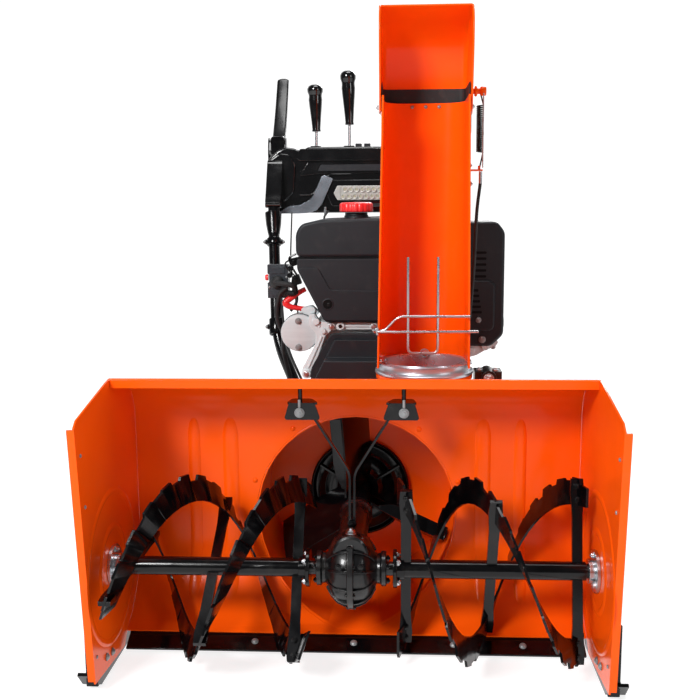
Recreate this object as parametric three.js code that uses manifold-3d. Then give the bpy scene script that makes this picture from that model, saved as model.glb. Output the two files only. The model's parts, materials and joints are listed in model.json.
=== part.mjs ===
// A walk-behind two stage snowblower, in millimetres, +Z up, the intake facing -Y and the operator at +Y.
// Every sub-part is one closed solid in a mesh of its own; parts that touch keep a small clearance.
import * as THREE from 'three';
import { mergeVertices } from 'three/addons/utils/BufferGeometryUtils.js';
import Module from 'manifold-3d';

const wasm = await Module();
wasm.setup();

// ---- Driving dimensions ----
const GAP = 0.4; // clearance between parts that touch or turn in each other
const SHEET = 3; // pressed steel thickness
const MIDDLE_Y = 622.5; // lengthwise middle of the machine, moved to the origin at the end

const HOUSING_HALF = 433; // half the inside width of the auger housing
const LIP = { y: 153.5, z: 523.5, drop: 15 }; // front edge of the housing roof and its turned-down hem
const BEND = { y: 215, z: 419, r: 91.5 }; // bend from the roof into the back wall
const ROOF_Z = BEND.z + BEND.r; // the roof lies a little lower than its lip
const BELLY = { y: 125, z: 200, r: 181.5 }; // curved floor behind the auger
const SIDE_FRONT = { bottomY: 0, bottomZ: 22, topY: -41, topZ: 486 };

const AUGER = { y: 124, z: 188, r: 165, inner: 83, outer: 413 };
const IMPELLER = { z: 230, r: 188, front: 332, back: 470 };
const DRUM = { r: 193, back: 490 }; // inside radius and rear face
const CHUTE = { x: 134, y: 399, r: 85, base: 516, top: 1030, half: 89, topHalf: 81.5, back: 87, front: -79 };
const PIVOT = { y: 400, z: 1015 }; // deflector hinge
const CRANK_Z = 460;
const TRACTION_Z = 310;
const AXLE = { y: 660, z: 200, r: 12.5 };
const TYRE = { r: 200, inner: 212, outer: 322 };
const CASE = { half: 128, front: 600, back: 800, low: 110, high: 404 };
const TUBE_R = 14; // handlebar tube
const GRIP = { x: 240, z: 955, start: 1120, end: 1280 };
const DASH = { left: -252, right: 262, front: 950, back: 1004, low: 807, high: 973 };

const PAINT = { color: 0xe8500f, roughness: 0.3, metalness: 0.1 };
const BLACK_GLOSS = { color: 0x101012, roughness: 0.3, metalness: 0.2 };
const BLACK_MATTE = { color: 0x2e2f33, roughness: 0.6, metalness: 0 };
const ZINC = { color: 0xb9bcc0, roughness: 0.35, metalness: 0.9 };
const ALLOY = { color: 0xb5b5b2, roughness: 0.5, metalness: 0.8 };
const RUBBER = { color: 0x17171a, roughness: 0.85, metalness: 0 };
const RED = { color: 0xd82a2a, roughness: 0.4, metalness: 0 };
const GREY = { color: 0x77797c, roughness: 0.5, metalness: 0 };
const LENS = { color: 0xe9e6cf, roughness: 0.2, metalness: 0.1 };

const RIGHT_AND_LEFT = [['left', -1], ['right', 1]];

// ---- Solids ----
function toSolid(geometry) {
  const bare = geometry.clone();
  bare.deleteAttribute('normal');
  bare.deleteAttribute('uv');
  const merged = mergeVertices(bare, 1e-4);
  const vertProperties = new Float32Array(merged.attributes.position.array);
  const triVerts = new Uint32Array(merged.index.array);
  return new wasm.Manifold(new wasm.Mesh({ numProp: 3, vertProperties, triVerts }));
}

function toGeometry(solid) {
  const mesh = solid.getMesh();
  const geometry = new THREE.BufferGeometry();
  geometry.setAttribute('position', new THREE.BufferAttribute(new Float32Array(mesh.vertProperties), 3));
  geometry.setIndex(new THREE.BufferAttribute(new Uint32Array(mesh.triVerts), 1));
  geometry.computeVertexNormals();
  return geometry;
}

const join = (...solids) => solids.reduce((whole, solid) => whole.add(solid));

// An outline drawn in the plane across an axis, (y,z) for x, (x,z) for y and (x,y) for z, made solid along it.
function prism(axis, outline, from, to, holes = []) {
  const shape = new THREE.Shape(outline.map(([a, b]) => new THREE.Vector2(a, b)));
  shape.holes = holes.map((hole) => new THREE.Path(hole.map(([a, b]) => new THREE.Vector2(a, b))));
  const geometry = new THREE.ExtrudeGeometry(shape, { depth: to - from, bevelEnabled: false });
  const unit = { x: new THREE.Vector3(1, 0, 0), y: new THREE.Vector3(0, 1, 0), z: new THREE.Vector3(0, 0, 1) };
  const turn = new THREE.Matrix4();
  if (axis === 'x') turn.makeBasis(unit.y, unit.z, unit.x).setPosition(from, 0, 0);
  if (axis === 'y') turn.makeBasis(unit.x, unit.z, unit.y.clone().negate()).setPosition(0, to, 0);
  if (axis === 'z') turn.setPosition(0, 0, from);
  return toSolid(geometry.applyMatrix4(turn));
}

function arc(a, b, r, fromDegrees, toDegrees, steps) {
  return Array.from({ length: steps + 1 }, (_, i) => {
    const angle = THREE.MathUtils.degToRad(fromDegrees + ((toDegrees - fromDegrees) * i) / steps);
    return [a + r * Math.cos(angle), b + r * Math.sin(angle)];
  });
}

const circle = (a, b, r, sides = 16) => arc(a, b, r, 0, 360, sides).slice(0, -1);

const rod = (axis, a, b, r, from, to, sides = 16) => prism(axis, circle(a, b, r, sides), from, to);

const pipe = (axis, a, b, r, bore, from, to, sides = 16) =>
  prism(axis, circle(a, b, r, sides), from, to, [circle(a, b, bore, sides)]);

function box(x0, x1, y0, y1, z0, z1) {
  const geometry = new THREE.BoxGeometry(x1 - x0, y1 - y0, z1 - z0);
  return toSolid(geometry.translate((x0 + x1) / 2, (y0 + y1) / 2, (z0 + z1) / 2));
}

// The outline of a bent sheet seen on edge: an open line of points given a thickness to both sides.
function sheetOutline(points, thickness) {
  const vectors = points.map(([a, b]) => new THREE.Vector2(a, b));
  const normalOf = (p, q) => new THREE.Vector2(p.y - q.y, q.x - p.x).normalize();
  const side = (sign) =>
    vectors.map((point, i) => {
      const before = normalOf(vectors[Math.max(i - 1, 0)], vectors[Math.max(i, 1)]);
      const last = vectors.length - 1;
      const after = normalOf(vectors[Math.min(i, last - 1)], vectors[Math.min(i + 1, last)]);
      const mitre = before.clone().add(after).normalize();
      const reach = (sign * thickness) / 2 / mitre.dot(before);
      return [point.x + mitre.x * reach, point.y + mitre.y * reach];
    });
  return [...side(1), ...side(-1).reverse()];
}

// A round bar along points joined by straight stretches with rounded corners.
function bar(points, r, sides = 10, bend = 40, stepsPerBend = 3) {
  const corners = points.map((p) => new THREE.Vector3(...p));
  const path = new THREE.CurvePath();
  let start = corners[0];
  for (let i = 1; i < corners.length - 1; i += 1) {
    const corner = corners[i];
    const into = corner.clone().sub(corners[i - 1]);
    const out = corners[i + 1].clone().sub(corner);
    const cut = Math.min(bend, into.length() / 2.2, out.length() / 2.2);
    const a = corner.clone().addScaledVector(into.normalize(), -cut);
    const b = corner.clone().addScaledVector(out.normalize(), cut);
    path.add(new THREE.LineCurve3(start, a));
    path.add(new THREE.QuadraticBezierCurve3(a, corner, b));
    start = b;
  }
  path.add(new THREE.LineCurve3(start, corners.at(-1)));
  const stations = [path.curves[0].getPoint(0)];
  for (const curve of path.curves) {
    const steps = curve.isLineCurve3 ? 1 : stepsPerBend;
    for (let i = 1; i <= steps; i += 1) stations.push(curve.getPoint(i / steps));
  }
  return sweep(stations, r, sides);
}

// A round section carried through stations, with one step of the extrusion per station.
function sweep(stations, r, sides) {
  const path = new THREE.Curve();
  path.getSpacedPoints = () => stations.map((station) => station.clone());
  path.computeFrenetFrames = () => framesAlong(stations);
  const section = new THREE.Shape(circle(0, 0, r, sides).map(([a, b]) => new THREE.Vector2(a, b)));
  const options = { steps: stations.length - 1, extrudePath: path, bevelEnabled: false };
  return toSolid(new THREE.ExtrudeGeometry(section, options));
}

// Directions across the path at each station, carried along with the least turning.
function framesAlong(stations) {
  const tangents = stations.map((point, i) => {
    const before = stations[Math.max(i - 1, 0)];
    const after = stations[Math.min(i + 1, stations.length - 1)];
    return after.clone().sub(before).normalize();
  });
  const first = tangents[0];
  const seed = Math.abs(first.z) < 0.9 ? new THREE.Vector3(0, 0, 1) : new THREE.Vector3(1, 0, 0);
  const normals = [seed.clone().cross(first).normalize()];
  for (let i = 1; i < tangents.length; i += 1) {
    const turn = new THREE.Quaternion().setFromUnitVectors(tangents[i - 1], tangents[i]);
    normals.push(normals[i - 1].clone().applyQuaternion(turn).normalize());
  }
  const binormals = tangents.map((tangent, i) => tangent.clone().cross(normals[i]).normalize());
  return { tangents, normals, binormals };
}

// ---- Assembly ----
const machine = new THREE.Group();

function part(name, solid, look) {
  const mesh = new THREE.Mesh(toGeometry(solid), new THREE.MeshStandardMaterial({ ...look }));
  mesh.name = name;
  machine.add(mesh);
}

// ---- Auger housing ----
function housing() {
  const profile = [
    [LIP.y, LIP.z - LIP.drop],
    [LIP.y, LIP.z],
    [LIP.y + 8, LIP.z],
    [LIP.y + 21, ROOF_Z],
    ...arc(BEND.y, BEND.z, BEND.r, 90, 0, 8),
    ...arc(BELLY.y, BELLY.z, BELLY.r, 0, -69, 10),
  ];
  const wrap = prism('x', sheetOutline(profile, SHEET), -HOUSING_HALF, HOUSING_HALF);
  const mouth = rod('y', 0, IMPELLER.z, DRUM.r + SHEET + GAP, 60, 400, 40);
  part('housing_wrap', wrap.subtract(mouth), PAINT);

  const inner = BEND.r - SHEET / 2;
  const hollow = prism('x', [
    [-200, -100],
    [-200, LIP.z],
    ...arc(BEND.y, BEND.z, inner, 90, 0, 8),
    ...arc(BELLY.y, BELLY.z, BELLY.r - SHEET / 2, 0, -90, 12),
    [BELLY.y, -100],
  ], -300, 300);
  const ductTop = CHUTE.base - 22;
  const lean = 0.12; // the outlet leans outward toward the chute
  const duct = (r, low, high) => {
    const geometry = new THREE.CylinderGeometry(r, r, high - low, 28).rotateX(Math.PI / 2);
    geometry.translate(CHUTE.x, CHUTE.y, (low + high) / 2);
    const shear = new THREE.Matrix4().makeTranslation(0, 0, ductTop);
    shear.multiply(new THREE.Matrix4().makeShear(0, 0, 0, 0, lean, 0));
    shear.multiply(new THREE.Matrix4().makeTranslation(0, 0, -ductTop));
    return toSolid(geometry.applyMatrix4(shear));
  };
  const shell = join(
    rod('y', 0, IMPELLER.z, DRUM.r + SHEET, 150, DRUM.back, 40),
    duct(CHUTE.r + SHEET, IMPELLER.z, ductTop),
    rod('z', CHUTE.x, CHUTE.y, CHUTE.r + 12, ductTop - 8, ductTop, 28),
  );
  const bore = join(
    rod('y', 0, IMPELLER.z, DRUM.r, 140, DRUM.back - SHEET, 40),
    duct(CHUTE.r, IMPELLER.z + 20, ductTop + 1),
    rod('y', 0, IMPELLER.z, 12, 140, DRUM.back + 1),
  );
  part('impeller_drum', shell.subtract(bore).subtract(hollow), PAINT);

  const plate = [
    [SIDE_FRONT.bottomY, SIDE_FRONT.bottomZ],
    [172, 8],
    [192, 30],
    ...arc(BELLY.y, BELLY.z, BELLY.r + SHEET / 2, -66, 0, 10),
    ...arc(BEND.y, BEND.z, BEND.r + SHEET / 2, 0, 90, 8),
    [LIP.y + 21, ROOF_Z + SHEET / 2],
    [LIP.y + 8, LIP.z + SHEET / 2],
    [LIP.y, LIP.z + SHEET / 2],
    [130, LIP.z - 2],
    [SIDE_FRONT.topY + 14, SIDE_FRONT.topZ + 5],
    [SIDE_FRONT.topY, SIDE_FRONT.topZ - 6],
  ];
  const edge = sheetOutline([
    [SIDE_FRONT.bottomY + SHEET / 2, SIDE_FRONT.bottomZ + 4],
    [SIDE_FRONT.topY + SHEET / 2, SIDE_FRONT.topZ - 8],
  ], SHEET);
  for (const [side, sign] of RIGHT_AND_LEFT) {
    const at = (a, b) => (sign > 0 ? [a, b] : [-b, -a]);
    const x = HOUSING_HALF + GAP;
    const sheet = prism('x', plate, ...at(x, x + SHEET), [circle(AUGER.y, AUGER.z, 15)]);
    const flange = prism('x', edge, ...at(x, x + SHEET + 10));
    part(`side_plate_${side}`, sheet.add(flange), PAINT);

    const outer = x + SHEET + GAP;
    const shoe = join(
      prism('x', [[22, 6], [215, 6], [228, 18], [228, 110], [212, 122], [70, 134], [22, 134]], ...at(outer, outer + 5)),
      box(...at(outer, outer + 20.5), 22, 27, 6, 134),
    );
    const runner = sheetOutline([[18, 30], [42, 3], [222, 3], [244, 24]], 6);
    part(`skid_shoe_${side}`, shoe.add(prism('x', runner, ...at(outer, outer + 34))), BLACK_GLOSS);

    const boss = AUGER.outer + 4;
    const bearing = join(
      pipe('x', AUGER.y, AUGER.z, 22, 13, ...at(boss, HOUSING_HALF - 5)),
      pipe('x', AUGER.y, AUGER.z, 38, 13, ...at(HOUSING_HALF - 6, HOUSING_HALF)),
    );
    part(`shaft_bearing_${side}`, bearing, ZINC);

    const underRoof = ROOF_Z - SHEET / 2 - GAP;
    const bracket = join(
      box(...at(72, 112), 160, 200, underRoof - 6, underRoof),
      box(...at(60, 118), 158, 163, 452, 482),
      box(...at(88, 98), 160, 186, 462, underRoof),
    );
    const stay = bar([[sign * 78, 166, 472], [sign * 6, 165, 356], [sign * 6, 152, AUGER.z + 69]], 4.5, 8, 25);
    part(`support_strap_${side}`, join(bracket, stay), BLACK_GLOSS);
  }

  const lip = sheetOutline([[160, 8], [190, 22.5], [199, 26]], 5);
  part('scraper_blade', prism('x', lip, -HOUSING_HALF + 5, HOUSING_HALF - 5), BLACK_GLOSS);
}

// ---- Augers and their gearbox ----
// A long flat bar bent round the auger axis from x0 to x1. Its outer edge is stepped like a saw.
function flight(x0, x1, angleOf, inner, outer, lean) {
  const steps = 32;
  const thickness = 5;
  const geometry = new THREE.BoxGeometry(1, 1, 1, steps, 1, 1);
  const position = geometry.attributes.position;
  for (let i = 0; i < position.count; i += 1) {
    const station = Math.round((position.getX(i) + 0.5) * steps);
    const along = x0 + ((x1 - x0) * station) / steps;
    const tooth = station % 4 === 3 ? 9 : (station % 4) * 2;
    const radius = position.getY(i) > 0 ? outer - tooth : inner;
    const angle = THREE.MathUtils.degToRad(angleOf(along));
    const x = along + position.getZ(i) * thickness + (position.getY(i) > 0 ? 0 : lean);
    position.setXYZ(i, x, AUGER.y + radius * Math.cos(angle), AUGER.z + radius * Math.sin(angle));
  }
  const solid = toSolid(geometry);
  if (solid.volume() > 0) return solid;
  const faces = geometry.index.array;
  for (let i = 0; i < faces.length; i += 3) [faces[i + 1], faces[i + 2]] = [faces[i + 2], faces[i + 1]];
  return toSolid(geometry);
}

// angleOf gives a ribbon's angle, in degrees, at a distance out from the middle of the machine.
function augerHalf(side, sign, angleOf, lean) {
  const { inner, outer, y, z, r } = AUGER;
  const at = (a, b) => (sign > 0 ? [a, b] : [-b, -a]);
  const width = 49;
  const solids = [
    pipe('x', y, z, 16.5, 13, ...at(inner - 9, outer), 16),
    pipe('x', y, z, 34, 13, ...at(inner - 9, inner - 2), 16),
  ];
  for (const start of [0, 180]) {
    solids.push(flight(sign * inner, sign * outer, (x) => angleOf(Math.abs(x)) + start, r - width, r, -sign * lean));
  }
  for (const x of [inner + 14, (inner + outer) / 2, outer - 14]) {
    const spoke = join(
      box(-9, 9, -(r - width / 2), r - width / 2, -4, 4),
      box(-12, 12, -(r - 1), -(r - width - 4), -4, 4),
      box(-12, 12, r - width - 4, r - 1, -4, 4),
    );
    const hub = rod('x', 0, 0, 14.5, -10, 10);
    const turned = spoke.subtract(hub).rotate([angleOf(x), 0, 0]);
    solids.push(turned.translate([sign * x, y, z]));
  }
  part(`auger_${side}`, join(...solids), BLACK_GLOSS);
}

function drive() {
  const { y, z } = AUGER;
  augerHalf('left', -1, (x) => x - 38, 14);
  const coil = { start: 85, slope: 1.437, easing: 0.001 }; // this side's ribbons stretch out toward the end
  augerHalf('right', 1, (x) => {
    const along = x - AUGER.inner;
    return coil.start + coil.slope * along - coil.easing * along * along;
  }, 0);
  const heads = RIGHT_AND_LEFT.map(([, sign]) =>
    rod('x', y, z, 20, ...(sign > 0 ? [438, 448] : [-448, -438]), 6));
  part('auger_shaft', join(rod('x', y, z, 12.5, -440, 440), ...heads), ZINC);

  const gear = (r, tooth, count) => Array.from({ length: count * 2 }, (_, i) => {
    const angle = (Math.PI * i) / count;
    const reach = i % 2 ? r : r - tooth;
    return [y + reach * Math.cos(angle), z + reach * Math.sin(angle)];
  });
  part('worm_wheel', prism('x', gear(25, 4, 14), -11, 11, [circle(y, z, 13)]), ZINC);

  const outside = join(
    rod('x', y, z, 66, -30, 30, 28),
    rod('x', y, z, 72, -7, 7, 28),
    rod('x', y, z, 30, -62, 62),
    rod('y', 0, IMPELLER.z, 26, 84, 306),
    rod('y', 0, IMPELLER.z, 32, 292, 306),
    rod('y', 0, IMPELLER.z, 32, 82, 92, 8),
  );
  const inside = join(
    rod('x', y, z, 29, -14, 14),
    rod('x', y, z, 13, -70, 70),
    rod('y', 0, IMPELLER.z, 16.5, 94, 154),
    rod('y', 0, IMPELLER.z, 11.4, 94, 320),
  );
  part('gearbox_case', outside.subtract(inside), BLACK_GLOSS);
}

function impellerSet() {
  const { z, r, front, back } = IMPELLER;
  const worm = [110, 120, 130].map((at) => rod('y', 0, z, 15.5, at, at + 4));
  part('impeller_shaft', join(rod('y', 0, z, 11, 100, 548), rod('y', 0, z, 13, 104, 144), ...worm), ZINC);

  const solids = [
    pipe('y', 0, z, 24, 11.4, front - 8, DRUM.back - 8),
    pipe('y', 0, z, 105, 11.4, back, back + 6, 28),
  ];
  for (const angle of [90, 210, 330]) {
    const reach = (back + 6 - front) / 2;
    const blade = join(
      box(20, r - 5, -reach, reach, -2.5, 2.5),
      box(r - 36, r - 6, -reach, -reach + 5, -2.5, 20),
      box(r - 10, r - 6, -reach, reach, -2.5, 16),
    );
    const pitched = blade.rotate([-18, 0, 0]).translate([0, front + reach, 0]);
    solids.push(pitched.rotate([0, -angle, 0]).translate([0, 0, z]));
  }
  part('impeller', join(...solids), BLACK_GLOSS);

  const pulley = (axisZ, rim, bore, from, to) => {
    const middle = (from + to) / 2;
    const groove = pipe('y', 0, axisZ, rim + 1, rim - 8, middle - 5, middle + 5, 24);
    return pipe('y', 0, axisZ, rim, bore, from, to, 24).subtract(groove);
  };
  part('impeller_pulley', pulley(z, 88, 11.4, 520, 544), BLACK_MATTE);
  const sheaves = join(pulley(CRANK_Z, 34, 8, 520, 544), pulley(CRANK_Z, 28, 8, 568, 588));
  part('engine_pulley', join(sheaves, rod('y', 0, CRANK_Z, 12, 516, 640)), ZINC);
  const discs = join(
    pulley(TRACTION_Z, 52, 8, 568, 588),
    rod('y', 0, TRACTION_Z, 10, 566, 632),
    rod('y', 0, TRACTION_Z, 76, 626, 634, 28),
  );
  part('traction_disc', discs, ZINC);

  // A belt lies in the grooves of two pulleys, its straight runs tangent to both.
  const belt = (lowZ, lowR, highR, from, to) => {
    const loop = (grow) => {
      const spread = CRANK_Z - lowZ;
      const lean = THREE.MathUtils.radToDeg(Math.asin((lowR - highR) / spread));
      return [
        ...arc(0, lowZ, lowR + grow, 180 - lean, 360 + lean, 16),
        ...arc(0, CRANK_Z, highR + grow, lean, 180 - lean, 10),
      ];
    };
    return prism('y', loop(9), from, to, [loop(1.5)]);
  };
  part('auger_belt', belt(z, 80, 26, 528, 536), RUBBER);
  part('traction_belt', belt(TRACTION_Z, 44, 20, 574, 582), RUBBER);
}

// ---- Engine and transmission ----
function engine() {
  const outline = [[-96, 136], [-70, 118], [70, 118], [96, 136], [96, 462], [58, 538], [-58, 538], [-96, 462]];
  const inset = [[-93, 138], [-69, 121], [69, 121], [93, 138], [93, 461], [56, 535], [-56, 535], [-93, 461]];
  const step = { y: 545, z: 500 }; // the upper half stands back, clear of the turning chute
  const cover = prism('y', outline, 497, 564).subtract(box(-200, 200, 490, step.y, step.z, 600));
  const room = prism('y', inset, 500, 570).subtract(box(-200, 200, 490, step.y + SHEET, step.z - SHEET, 600));
  part('belt_cover', cover.subtract(room).subtract(rod('y', 0, IMPELLER.z, 14, 490, 510)), BLACK_MATTE);

  const block = join(
    box(-100, 104, 607, 800, CASE.high + GAP, 574),
    rod('y', 0, CRANK_Z, 54, 592, 610, 28),
    box(103, 172, 640, 730, 470, 640),
    ...[492, 520, 548, 576, 604].map((z) => box(100, 190, 632, 738, z, z + 7)),
  );
  part('engine_block', block.subtract(rod('y', 0, CRANK_Z, 12.6, 580, 650)), ALLOY);

  const face = [[-137, 716], [-139, 690], [-80, 576], [96, 576], [96, 716]];
  part('engine_shroud', prism('y', face, 566, 800), BLACK_MATTE);

  const tank = [[-137, 717], [166, 717], [166, 790], [154, 803], [-112, 803], [-130, 797], [-141, 784]];
  const filler = rod('z', -12, 640, 27, 800, 812);
  part('fuel_tank', prism('y', tank, 566, 800).add(filler), BLACK_MATTE);
  const grips = Array.from({ length: 20 }, (_, i) => {
    const angle = (Math.PI * i) / 10;
    const reach = i % 2 ? 38 : 35;
    return [-12 + reach * Math.cos(angle), 640 + reach * Math.sin(angle)];
  });
  part('fuel_cap', prism('z', grips, 812 + GAP, 830).add(rod('z', -12, 640, 20, 829, 834)), RED);

  const guard = [[196, 517], [290, 517], [314, 545], [314, 770], [296, 791], [196, 791]];
  const pitch = 12.9; // between the cooling slots
  const slots = [0, 1, 2, 3, 4].map((i) => box(244, 273, 590, 599, 669.4 + i * pitch, 674.6 + i * pitch));
  const low = box(226, 292, 587, 600, 552, 663);
  const cavity = box(199, 287, 598, 760, 520, 788);
  const shell = prism('y', guard, 594, 744).add(low).subtract(cavity);
  const muffler = slots.reduce((solid, slot) => solid.subtract(slot), shell);
  part('muffler_guard', muffler, BLACK_MATTE);

  const recoil = join(rod('y', 0, CRANK_Z + 10, 84, 800 + GAP, 846, 24), rod('y', 0, CRANK_Z + 10, 60, 840, 862, 24));
  part('recoil_housing', recoil, BLACK_MATTE);
  const pull = join(rod('y', 52, CRANK_Z + 70, 6, 849, 873, 12), box(30, 74, 872, 886, CRANK_Z + 62, CRANK_Z + 78));
  part('recoil_handle', pull, BLACK_GLOSS);

  const starter = join(rod('y', -139, 546, 43, 600, 606, 28), rod('y', -139, 546, 38, 605, 720));
  part('starter_motor', starter, ALLOY);
  const plug = rod('y', -190, 662, 16, 618, 633);
  const well = rod('x', 658, 666, 7 + GAP, -215, -208, 12);
  part('starter_switch_box', box(-214, -166, 632, 684, 620, 698).add(plug).subtract(well), GREY);
  part('starter_button', rod('x', 658, 666, 7, -222, -214 - GAP, 12), RED);
}

function transmission() {
  const { half, front, back, low, high } = CASE;
  const wall = 4;
  const cheeks = [-half, half - wall].map((x) => box(x, x + wall, DRUM.back + GAP, front + 1, 140, 396));
  const hollow = join(
    box(-half + wall, half - wall, front + wall, back - wall, low + wall, high + 1),
    rod('x', AXLE.y, AXLE.z, AXLE.r + GAP, -half - 1, half + 1),
    rod('y', 0, TRACTION_Z, 10.6, front - 1, front + 10),
  );
  part('transmission_case', join(box(-half, half, front, back, low, high), ...cheeks).subtract(hollow), BLACK_MATTE);

  const wheelY = 634 + GAP + 45;
  const shaft = rod('x', wheelY, TRACTION_Z, 8, -half + wall + GAP, half - wall - GAP, 6);
  part('friction_wheel', shaft.add(rod('x', wheelY, TRACTION_Z, 45, 32, 46, 24)), ZINC);

  part('axle', rod('x', AXLE.y, AXLE.z, AXLE.r, -TYRE.outer - 8, TYRE.outer + 8), ZINC);
  for (const [side, sign] of RIGHT_AND_LEFT) {
    const at = (a, b) => (sign > 0 ? [a, b] : [-b, -a]);
    const middle = (TYRE.inner + TYRE.outer) / 2;
    const rim = join(
      pipe('x', AXLE.y, AXLE.z, 100, 92, ...at(TYRE.inner + 16, TYRE.outer - 16), 24),
      pipe('x', AXLE.y, AXLE.z, 96, AXLE.r + GAP, ...at(middle - 3, middle + 3), 24),
      pipe('x', AXLE.y, AXLE.z, 30, AXLE.r + GAP, ...at(TYRE.inner + 10, TYRE.outer - 10), 16),
    );
    part(`rim_${side}`, rim, BLACK_MATTE);

    const profile = [[101, -40], [150, -54], [186, -46], [TYRE.r, -28], [TYRE.r, 28], [186, 46], [150, 54], [101, 40]];
    const lathe = new THREE.LatheGeometry([...profile, profile[0]].map(([r, h]) => new THREE.Vector2(r, h)), 32);
    part(`tyre_${side}`, toSolid(lathe.rotateZ(Math.PI / 2).translate(sign * middle, AXLE.y, AXLE.z)), RUBBER);
  }
}

// ---- Chute ----
// Half outline of the channel, an open U seen from above, at a distance outside the chute's own sheet.
function channel(out, front = CHUTE.front, outer = CHUTE.half) {
  const half = outer - SHEET / 2 + out;
  const back = CHUTE.back - SHEET / 2 + out;
  const r = 45;
  return [
    [-half, front],
    ...arc(-half + r, back - r, r, 180, 90, 6),
    ...arc(half - r, back - r, r, 90, 0, 6),
    [half, front],
  ].map(([a, b]) => [CHUTE.x + a, CHUTE.y + b]);
}

function chuteSet() {
  const { x, y, r, base, top, half, topHalf, front } = CHUTE;
  part('chute_ring', join(
    pipe('z', x, y, r + 6, r, base - 21, base - GAP, 32),
    pipe('z', x, y, r + 12, r, base - 21, base - 12, 32),
  ), ZINC);

  const spring = { x: x + 107, y: y + 15, low: 899, high: 1038 };
  const shelf = box(x + topHalf, spring.x + 6, spring.y - 8, spring.y + 8, spring.low - 6, spring.low);
  const narrowing = 1 - topHalf / half;
  const tapered = prism('z', sheetOutline(channel(0), SHEET), base, top).warp((point) => {
    point[0] = x + (point[0] - x) * (1 - (narrowing * (point[2] - base)) / (top - base));
  });
  part('chute', tapered.add(shelf), PAINT);
  part('deflector_spring', rod('z', spring.x, spring.y, 6, spring.low + GAP, spring.high, 12), BLACK_GLOSS);
  part('deflector_flap', prism('z', sheetOutline(channel(3.2, -30, topHalf), 2), 1010, 1058), RUBBER);

  const wireY = y + front - 4;
  const wire = 2.6;
  part('chute_guard', join(
    bar([[101, wireY, 731], [101, wireY, 546], [158, wireY, 546], [158, wireY, 731]], wire, 6, 10, 2),
    bar([[48, wireY, 589], [78, wireY, 618], [219, wireY, 618]], wire, 6, 12, 2),
    bar([[46, wireY, 589], [140, wireY, 589], [235, wireY, 589]], wire, 6, 5, 1),
  ), ZINC);

  const inside = topHalf + 3.3;
  const outside = inside + 2.6;
  const backY = y + CHUTE.back + 4.5;
  const hood = [[backY, 1005], [backY, 1064], [481, 1109], [454, 1149], [411, 1178], [352, 1195]];
  const cheek = [...hood, [334, 1186], [324, 1114], [340, 1050], [352, 1005]];
  const knob = rod('x', spring.y, 1045, 6, x + outside - 1, spring.x + 11, 16);
  const pins = [-1, 1].map((sign) => {
    const [from, to] = sign > 0 ? [outside - 1, outside + 5] : [-outside - 5, -outside + 1];
    return rod('x', PIVOT.y, PIVOT.z, 9, x + from, x + to, 16);
  });
  part('deflector', join(
    prism('x', sheetOutline(hood, SHEET), x - outside, x + outside),
    prism('x', cheek, x - outside, x - inside),
    prism('x', cheek, x + inside, x + outside),
    knob,
    ...pins,
  ), PAINT);

  const worm = rod('y', 262, 488, 15, 366, 432);
  part('chute_drive_bracket', box(234, 288, 376, 422, 472, 500).add(worm), BLACK_GLOSS);
}

// ---- Handlebars and controls ----
function handleRoute(sign) {
  return [
    [sign * 146, 700, 170], [sign * 146, 735, 356], [sign * 213, 775, 505], [sign * 232, 895, 811],
    [sign * GRIP.x, 985, GRIP.z], [sign * GRIP.x, GRIP.end, GRIP.z],
  ];
}

function knobbedLever(name, x, low, high) {
  const y = 980;
  const profile = [[0, low], [10, low], [14, low + 40], [17, high - 38], [19, high - 16], [13, high - 2], [0, high]];
  const lathe = new THREE.LatheGeometry(profile.map(([r, h]) => new THREE.Vector2(r, h)), 16);
  const handle = toSolid(lathe.rotateX(Math.PI / 2).translate(x, y, 0));
  part(name, handle.add(rod('z', x, y, 4.5, 944, low + 5, 12)), BLACK_GLOSS);
}

function controls() {
  for (const [side, sign] of RIGHT_AND_LEFT) {
    part(`handlebar_${side}`, bar(handleRoute(sign), TUBE_R, 12, 60, 3), BLACK_GLOSS);
    const sleeve = pipe('y', sign * GRIP.x, GRIP.z, 18, TUBE_R + 2 * GAP, GRIP.start, GRIP.end + 1, 16);
    const cap = rod('y', sign * GRIP.x, GRIP.z, 19, GRIP.end + GAP, GRIP.end + 6);
    part(`grip_${side}`, sleeve.add(cap), RUBBER);
  }

  const { left, right, front, back, low, high } = DASH;
  const face = [[left, low + 4], [left + 20, low], [right - 20, low], [right, low + 4],
    [right, high - 22], [right - 34, high], [left + 34, high], [left, high - 22]];
  const button = (x, grow) => box(x - 8 - grow, x + 8 + grow, 972 - grow, 988 + grow, high - 8, high + 8);
  const buttons = [['light_button', -21], ['heater_button', 1]];
  const pockets = buttons.map(([, x]) => button(x, GAP));
  const channels = [-1, 1].map((sign) => bar(handleRoute(sign), TUBE_R + 0.6, 12, 60, 3));
  const dash = join(
    box(-140, -120, front + 6, back - 4, high - 40, high + 1),
    box(-66, -32, 970, 990, high - 40, high + 1),
    ...pockets,
    ...channels,
  );
  part('console', prism('y', face, front, back).subtract(dash), BLACK_GLOSS);
  part('light_bar', box(-84, 108, front - 10, front - GAP, 838, 876), LENS);
  for (const [name, x] of buttons) {
    part(name, button(x, 0).subtract(box(x - 20, x + 20, 960, 1000, high - 9, high - 4)), BLACK_MATTE);
  }

  knobbedLever('speed_lever', -130, 1014, 1128);
  knobbedLever('chute_lever', -45, 1030, 1161);

  const paddle = [[1012, 984], [1030, 983], [1112, 1066], [1166, 1150], [1160, 1166], [1142, 1162], [1086, 1082],
    [1008, 998]];
  for (const [name, sign] of [['drive_lever', -1], ['auger_lever', 1]]) {
    const [from, to] = sign > 0 ? [216, 246] : [-246, -216];
    part(name, prism('x', paddle, from, to).add(rod('x', 1020, 992, 13, from, to)), BLACK_GLOSS);
  }
}

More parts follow.
